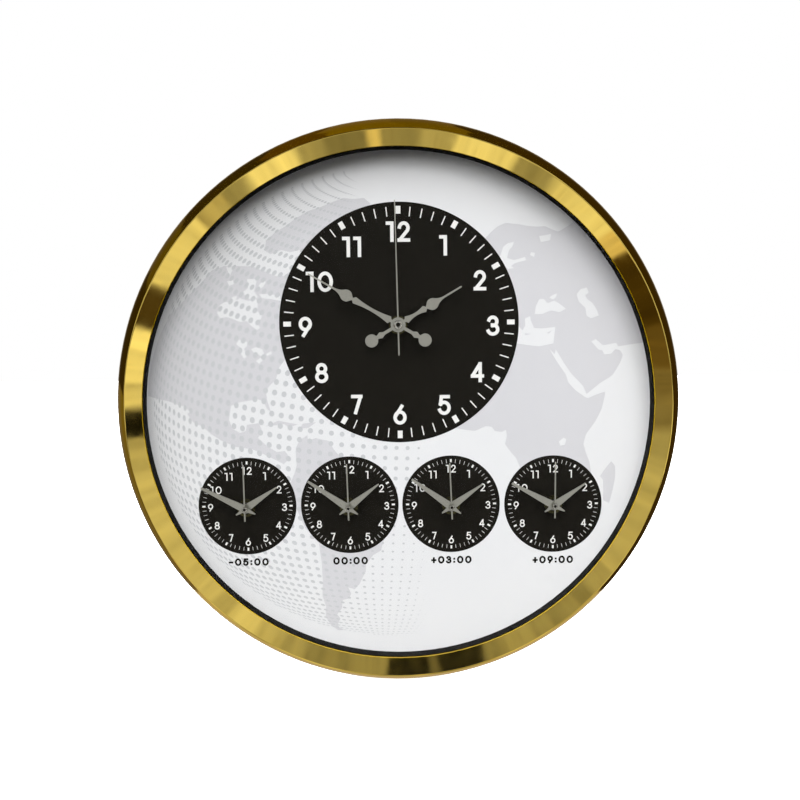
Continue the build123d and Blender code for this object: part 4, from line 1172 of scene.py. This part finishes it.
@dataclass
class CrossScrews:
    """Screws with a cross recess in the head, which stand for a node of plain ones."""

    node: str
    seats: Sequence[Point]
    head_radius: float
    head_height: float
    shank_radius: float
    shank_end: float
    bevel: float = 0.25
    recess: float = 0.65
    sides: int = 24
    arm_reach: float = 0.62
    arm_half_width: float = 0.16
    recess_taper: float = 0.74

    def cross(self, share: float) -> Outline:
        """The recess's outline.

        Args:
            share: Share of its full size.

        Returns:
            Its twelve corners in mm.
        """
        long, wide = self.head_radius * self.arm_reach * share, self.head_radius * self.arm_half_width * share
        return [(long, -wide), (long, wide), (wide, wide), (wide, long), (-wide, long), (-wide, wide),
                (-long, wide), (-long, -wide), (-wide, -wide), (-wide, -long), (wide, -long), (wide, -wide)]

    def add(self, work: bmesh.types.BMesh, seat: Point) -> None:
        """Adds one screw.

        Args:
            work: The mesh that it goes into.
            seat: Where its axis meets the wall, in mm.
        """
        def loop(outline: Outline, depth: float) -> list[bmesh.types.BMVert]:
            """An outline's corners at one depth."""
            return [work.verts.new(((seat[0] + x) * MM, -depth * MM, (seat[1] + z) * MM)) for x, z in outline]

        def wall(first: Sequence[bmesh.types.BMVert], second: Sequence[bmesh.types.BMVert]) -> None:
            """Quads between two loops of the same length."""
            for index, corner in enumerate(first):
                work.faces.new((corner, first[index - 1], second[index - 1], second[index]))

        def circle(radius: float) -> Outline:
            """Corners of a round section."""
            return [polar(radius, -HOURS * step / self.sides) for step in range(self.sides)]

        rim, slots = circle(self.head_radius - self.bevel), self.cross(1.0)
        crown, mouth = loop(rim, 0.0), loop(slots, 0.0)
        floor = loop(self.cross(self.recess_taper), self.recess)
        edge, foot = loop(circle(self.head_radius), self.bevel), loop(circle(self.head_radius), self.head_height)
        neck, tip = (loop(circle(self.shank_radius), depth) for depth in (self.head_height, self.shank_end))
        for first, second in ((crown, edge), (edge, foot), (foot, neck), (neck, tip), (mouth, floor)):
            wall(first, second)
        work.faces.new(tip)
        work.faces.new(floor)
        loops = [range(len(rim)), range(len(rim), len(rim) + len(slots))]
        _, _, faces, sources, _, owners = delaunay_2d_cdt([Vector(p) for p in (*rim, *slots)], [], loops, 0, WELD)
        corners = [*crown, *mouth]
        for face, owner in zip(faces, owners):
            if list(owner) == [0]:
                work.faces.new([corners[sources[i][0]] for i in face])

    def build(self) -> None:
        """Makes the screws as one piece."""
        work = bmesh.new()
        for seat in self.seats:
            self.add(work, seat)
        bmesh.ops.recalc_face_normals(work, faces=list(work.faces))
        mesh = bpy.data.meshes.new(self.node + "_crossed")
        work.to_mesh(mesh)
        work.free()
        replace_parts(Shop.keep(mesh, "clock", ZINC), self.node)


@dataclass
class KnobArrows:
    """Two curved arrows raised on the back of a setting knob."""

    node: str
    radius: float = 2.9
    half_width: float = 0.28
    height: float = 0.15
    shaft_steps: int = 7
    head_half_width: float = 0.8
    head_hours: float = 1.1

    def arrow(self, start: float) -> list[Outline]:
        """Draws one arrow round the knob.

        Args:
            start: Clock hour where it begins.

        Returns:
            Outlines of its bent shaft and of its head.
        """
        inner, outer = self.radius - self.half_width, self.radius + self.half_width
        hours = [start + 0.5 * step for step in range(self.shaft_steps)]
        shaft = [*(polar(outer, hour) for hour in hours), *(polar(inner, hour) for hour in reversed(hours))]
        head = [polar(self.radius - self.head_half_width, hours[-1]),
                polar(self.radius + self.head_half_width, hours[-1]),
                polar(self.radius, hours[-1] + self.head_hours)]
        return [shaft, head]

    def build(self) -> None:
        """Raises the arrows on the knob's own body."""
        low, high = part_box(self.node)
        x, z, rear = (low.x + high.x) / 2 / MM, (low.z + high.z) / 2 / MM, -high.y / MM
        outlines = [[(x + u, z + v) for u, v in outline] for start in (0, 6) for outline in self.arrow(start)]
        Shop.raised(self.node + "_arrows", outlines, rear - self.height, rear,
                    body_of(frame["nodes"][self.node])[0], MARK_GREY)


@dataclass
class PoleMarks:
    """Plus and minus signs raised on a movement's rear cover, over the ends of its cell."""

    prefix: str
    hub: Point
    spread: float = 20.5
    drop: float = 7.0
    height: float = 0.15
    signs: Lettering = Lettering(4.4, 0.8, 0.9)

    def build(self) -> None:
        """Raises the two signs."""
        rear = -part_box(self.prefix + "_movement_cover")[1].y / MM
        outlines = []
        for sign, side in (("-", -1), ("+", 1)):
            outlines.extend(self.signs.word(sign, (self.hub[0] + side * self.spread, self.hub[1] - self.drop)))
        Shop.raised(self.prefix + "_pole_marks", outlines, rear - self.height, rear, "clock", MARK_GREY)


@dataclass
class BoardTracks:
    """Copper tracks and solder dots on the main movement's circuit board."""

    node: str = "main_circuit_board"
    track: float = 0.06
    track_width: float = 0.5
    dot: float = 0.3
    dot_radius: float = 0.6
    heights: tuple[float, ...] = (0.3, 0.5, 0.7)
    margin: float = 0.12

    def build(self) -> None:
        """Lays three tracks with a dot at each end on the board's rear face."""
        low, high = (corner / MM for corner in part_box(self.node))
        wide, tall, rear = high.x - low.x, high.z - low.z, -high.y
        tracks, dots = [], []
        half, ring = self.track_width / 2, [polar(self.dot_radius, -step) for step in range(HOURS)]
        for share in self.heights:
            left, right, z = low.x + wide * (0.1 + share * 0.1), high.x - wide * self.margin, low.z + tall * share
            tracks.append([(left, z - half), (right, z - half), (right, z + half), (left, z + half)])
            dots.extend([(x + u, z + v) for u, v in ring] for x in (left, right))
        Shop.raised("main_board_tracks", tracks, rear - self.track, rear, "clock", TRACK)
        Shop.raised("main_board_solder", dots, rear - self.dot, rear - self.track, "clock", SOLDER)


# The frame's own pieces


@dataclass
class Assembly:
    """The nodes that the drawing office sent, with the finish of each."""

    nodes: dict[str, bpy.types.Object]
    plain: dict[str, Finish | ClearGlass] = field(default_factory=lambda: {
        "case_ring": GOLD, "front_glass": GLASS, "inner_ring": RING_BLACK, "dial_sheet": PAPER, "dial_board": BOARD,
        "back_cover": COVER_BLACK, "hanger_plate": ZINC, "hanger_screws": ZINC, "cover_screws": ZINC,
        "shaft_nuts": BRASS, "shaft_washers": BRASS, "rubber_washers": RUBBER, "battery_contacts": NICKEL,
        "stator": IRON, "coil": COPPER, "circuit_board": BOARD_GREEN, "train_plate": ACETAL,
        "movement_case": CASE_BLACK, "movement_cover": CASE_BLACK, "setting_knob": CASE_BLACK, "rotor": ACETAL,
        "wheel": ACETAL, "pinion": ACETAL, "hand": HAND_GREY,
    })

    def finish_of(self, name: str) -> Finish | ClearGlass | None:
        """The finish that the end of a node's name calls for.

        Args:
            name: The node's name.

        Returns:
            The finish, or None where no ending fits.
        """
        for ending, finish in self.plain.items():
            if name.endswith(ending):
                return finish
        return None

    def build(self) -> None:
        """Dresses every node."""
        for name, node in sorted(self.nodes.items()):
            finish = self.finish_of(name)
            if finish is None and name.endswith("battery"):
                low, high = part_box(name)
                finish = CellJacket(name.replace("_", " ") + " jacket", "battery_jacket", low.x, high.x)
            if finish is None:
                raise ValueError(f"no finish for {name}")
            finish.dress(node)
            log.info("%s: %s", name, finish.name)


# Light and view


@dataclass(frozen=True)
class Card:
    """A light card or dark flag round the clock, over a run of clock hours."""

    start: float
    end: float
    level: float
    warmth: float = 0.0


def card_ring(*runs: tuple[float, ...]) -> tuple[Card, ...]:
    """Cards in order round the clock, each run with its end, level and warmth."""
    starts = (0.0, *(run[0] for run in runs))
    return tuple(Card(start, *run) for start, run in zip(starts, runs))


@dataclass
class Studio:
    """Plain soft light, a pale floor, and the cards that the gold rim mirrors."""

    floor_height: float = -200.4
    floor_half: float = 6000.0
    front_cards: tuple[Card, ...] = card_ring(
        (0.2, 0.3), (0.4, 0.48), (0.95, 0.97), (1.2, 0.33), (1.45, 0.82), (1.75, 0.97), (1.95, 0.8, 0.35),
        (2.5, 0.054, 1.0), (2.75, 0.13, 0.8), (3.0, 0.19, 0.4), (3.25, 0.26, 0.25), (3.5, 0.41), (4.25, 0.54),
        (4.5, 0.44), (5.0, 0.32), (5.2, 0.4), (5.4, 0.28), (5.79, 0.008), (5.88, 0.16), (6.15, 0.01),
        (6.4, 0.33), (6.7, 0.29), (6.95, 0.42), (7.1, 0.55), (7.3, 0.8), (7.5, 0.52), (8.5, 0.67), (8.7, 0.55),
        (8.9, 0.01), (9.05, 0.85), (9.1, 0.55), (9.56, 1.05), (9.85, 0.07, 0.8), (10.45, 0.89), (10.7, 0.5, 0.1),
        (10.85, 0.35), (11.3, 1.02), (11.5, 0.4), (11.78, 0.24), (11.9, 0.85, 0.25), (12, 0.3),
    )
    rear_cards: tuple[Card, ...] = card_ring(
        (0.6, 0.12, 0.5), (4.7, 0.035, 0.8), (7.3, 0.5), (8.7, 0.16, 0.2), (9.5, 0.03, 0.6), (10.0, 0.09, 0.3),
        (10.9, 0.03, 0.6), (11.4, 0.07, 1.0), (12, 0.14, 0.5),
    )
    card_shift: float = 0.19
    warm_tone: Tone = (1.1, 0.72, 0.18)
    bend: float = 0.007
    streak_levels: tuple[float, float] = (0.72, 1.12)
    ahead_edge: tuple[float, float] = (0.36, 0.46)
    blur: float = 0.02
    ahead_level: float = 0.43
    dome_low: float = 0.1
    dome_high: float = 6.4
    dome_axis: Point = (-0.28, 0.96)
    dome_start: float = 0.2
    key_power: float = 2.5
    key_size: float = 0.55
    key_place: tuple[float, float, float] = (0.50, -0.62, 0.85)

    def build(self) -> None:
        """Sets up the floor, the key light and the surroundings."""
        self.lay_floor()
        self.hang_key()
        self.surround()

    def lay_floor(self) -> None:
        """A pale floor just under the rim."""
        half, level = self.floor_half * MM, self.floor_height * MM
        mesh = bpy.data.meshes.new("floor")
        mesh.from_pydata([(-half, -half, level), (half, -half, level), (half, half, level), (-half, half, level)],
                         [], [(0, 1, 2, 3)])
        floor = bpy.data.objects.new("floor", mesh)
        bpy.context.scene.collection.objects.link(floor)
        bench = MaterialBench("pale floor")
        cloud = bench.noise(bench.place(), 3.0)
        bench.feed(bench.shader.inputs["Base Color"], bench.blend(cloud, (0.86, 0.86, 0.86), (0.9, 0.9, 0.9)))
        bench.shader.inputs["Roughness"].default_value = 0.9
        bench.shader.inputs["Emission Color"].default_value = (1, 1, 1, 1)
        bench.shader.inputs["Emission Strength"].default_value = 1.0
        mesh.materials.append(bench.material)
        floor.visible_glossy = False
        floor.visible_diffuse = False

    def hang_key(self) -> None:
        """A large soft key light, high at the right."""
        data = bpy.data.lights.new("key light", "AREA")
        data.shape = "DISK"
        data.size = self.key_size
        data.energy = self.key_power
        key = bpy.data.objects.new("key light", data)
        key.location = self.key_place
        key.rotation_mode = "QUATERNION"
        key.rotation_quaternion = (-key.location).to_track_quat("-Z", "Y")
        key.visible_glossy = False
        bpy.context.scene.collection.objects.link(key)

    def ring(self, bench: Bench, hour: Socket, cards: Sequence[Card]) -> Socket:
        """Colour by clock hour, from the cards.

        Args:
            bench: The surroundings' tree.
            hour: Clock hour as a share of the ring.
            cards: Cards in order round it.

        Returns:
            The ring's colour.
        """
        def place(seen: float) -> float:
            """Card hour for the hour at which the rim shows it, since the camera stands high."""
            return seen - self.card_shift * math.sin(math.tau * seen / HOURS)
        colour = None
        for quarter in range(4):
            stops = []
            for card in cards:
                start = max(place(card.start) / 3 - quarter, 0)
                end = min(place(card.end) / 3 - quarter, 1)
                if end - start > 0.001:
                    warm = mixed((1, 1, 1), self.warm_tone, card.warmth)
                    tone = tuple(card.level * w for w in warm)
                    edge = min(self.blur / 3, (end - start) / 3)
                    stops += [(start + edge if start else 0.0, tone), (end - edge if end < 1 else 1.0, tone)]
            share = bench.sums("SUBTRACT", bench.sums("MULTIPLY", hour, 4.0), float(quarter))
            here = bench.ramp(share, stops)
            reached = bench.sums("GREATER_THAN", hour, quarter / 4)
            colour = here if colour is None else bench.blend(reached, colour, here)
        return colour

    def surround(self) -> None:
        """White to the camera, soft to plain surfaces, and cards to bright ones."""
        world = bpy.data.worlds.new("studio")
        world.use_nodes = True
        bpy.context.scene.world = world
        bench = Bench(world.node_tree)
        plain = world.node_tree.nodes["Background"]
        path = bench.node("LightPath")
        way = bench.node("TexCoord").outputs["Generated"]
        x, y, z = bench.node("SeparateXYZ", {0: way}).outputs
        flip = bench.sums("SIGN", y)
        turn = bench.sums("ARCTAN2", bench.sums("MULTIPLY", x, flip), bench.sums("MULTIPLY", z, flip))
        bend = bench.span(bench.noise(way, 5.0, 2), -self.bend, self.bend)
        hour = bench.sums("FRACT", bench.sums("ADD", bench.sums("DIVIDE", turn, math.tau),
                                              bench.sums("ADD", bend, 1.0)))
        streak = bench.node("TexNoise", {"W": bench.sums("MULTIPLY", hour, 90.0), "Scale": 1.0, "Detail": 5.0,
                                         "Roughness": 0.7}, noise_dimensions="1D").outputs[0]
        streaks = bench.span(streak, *self.streak_levels)
        ahead = bench.blend(1.0, self.ring(bench, hour, self.front_cards), streaks, "MULTIPLY")
        behind = self.ring(bench, hour, self.rear_cards)
        ring = bench.blend(bench.sums("GREATER_THAN", y, 0.0), ahead, behind)
        away = bench.sums("SQRT", bench.sums("ADD", bench.sums("POWER", x, 2.0), bench.sums("POWER", z, 2.0)))
        edge = bench.span(away, 0.0, 1.0, *self.ahead_edge)
        mirrored = bench.blend(edge, (self.ahead_level,) * 3, ring)
        lift = bench.weighed(x, self.dome_axis[0], z, self.dome_axis[1])
        dome = bench.blend(bench.span(lift, 0.0, 1.0, self.dome_start, 1.0),
                           (self.dome_low,) * 3, (self.dome_high,) * 3)
        soft = bench.blend(path.outputs["Is Glossy Ray"], dome, mirrored)
        seen = bench.blend(path.outputs["Is Camera Ray"], soft, (1.0, 1.0, 1.0))
        bench.feed(plain.inputs["Color"], seen)


@dataclass(frozen=True)
class Viewpoint:
    """Where the camera stands, in mm and degrees."""

    place: tuple[float, float, float] = (-3.05, -595.3, 39.92)
    down: float = 3.627
    right: float = 0.388
    roll: float = -0.576
    lens: float = 36.81
    sensor: float = 36.0
    near: float = 0.01

    def build(self) -> None:
        """Sets up the camera."""
        data = bpy.data.cameras.new("camera")
        data.lens = self.lens
        data.sensor_width = self.sensor
        data.clip_start = self.near
        camera = bpy.data.objects.new("camera", data)
        bpy.context.scene.collection.objects.link(camera)
        turn = (Matrix.Rotation(-math.radians(self.right), 4, "Z")
                @ Matrix.Rotation(-math.radians(self.down), 4, "X")
                @ Matrix.Rotation(-math.radians(self.roll), 4, "Y")
                @ Matrix.Rotation(math.pi / 2, 4, "X"))
        camera.matrix_world = Matrix.Translation(Vector(self.place) * MM) @ turn
        bpy.context.scene.camera = camera


def hub_work() -> None:
    """Puts a collar on each second hand, and pole marks behind each hub."""
    for joint in frame["joints"]:
        if joint["name"].endswith("second_turn"):
            body, hub = joint["child"], (joint["pos_m"][0] / MM, joint["pos_m"][2] / MM)
            radius, bore = (3.0, 1.5) if body == "main_second" else (1.9, 1.0)
            HubCollar(body + "_collar", body, hub, radius, bore).build()
            PoleMarks(body.removesuffix("_second"), hub).build()


def screw_work() -> None:
    """Puts crossed screws in place of the plain ones, set in from the edges of their node's box."""
    low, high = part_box("cover_screws")
    head = 3.0
    circle = high.z / MM - head
    CrossScrews("cover_screws", [polar(circle, hour) for hour in range(0, HOURS, 2)], head_radius=head,
                head_height=1.2, shank_radius=1.4, shank_end=-low.y / MM).build()
    low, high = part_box("hanger_screws")
    head = 2.4
    side, height = high.x / MM - head, (low.z + high.z) / 2 / MM
    CrossScrews("hanger_screws", [(-side, height), (side, height)], head_radius=head, head_height=0.8,
                shank_radius=1.0, shank_end=-low.y / MM, recess=0.5).build()


def main() -> None:
    """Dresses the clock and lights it."""
    logging.basicConfig(level=logging.INFO, format="%(message)s")
    bpy.context.scene.view_settings.view_transform = "Standard"
    Viewpoint().build()
    Studio().build()
    Assembly(frame["nodes"]).build()
    DialPrint().build()
    hub_work()
    for name in sorted(frame["nodes"]):
        if name.endswith("setting_knob"):
            KnobArrows(name).build()
    BoardTracks().build()
    screw_work()
    log.info("%d pieces made", Shop.made)


if __name__ == "__main__":
    main()
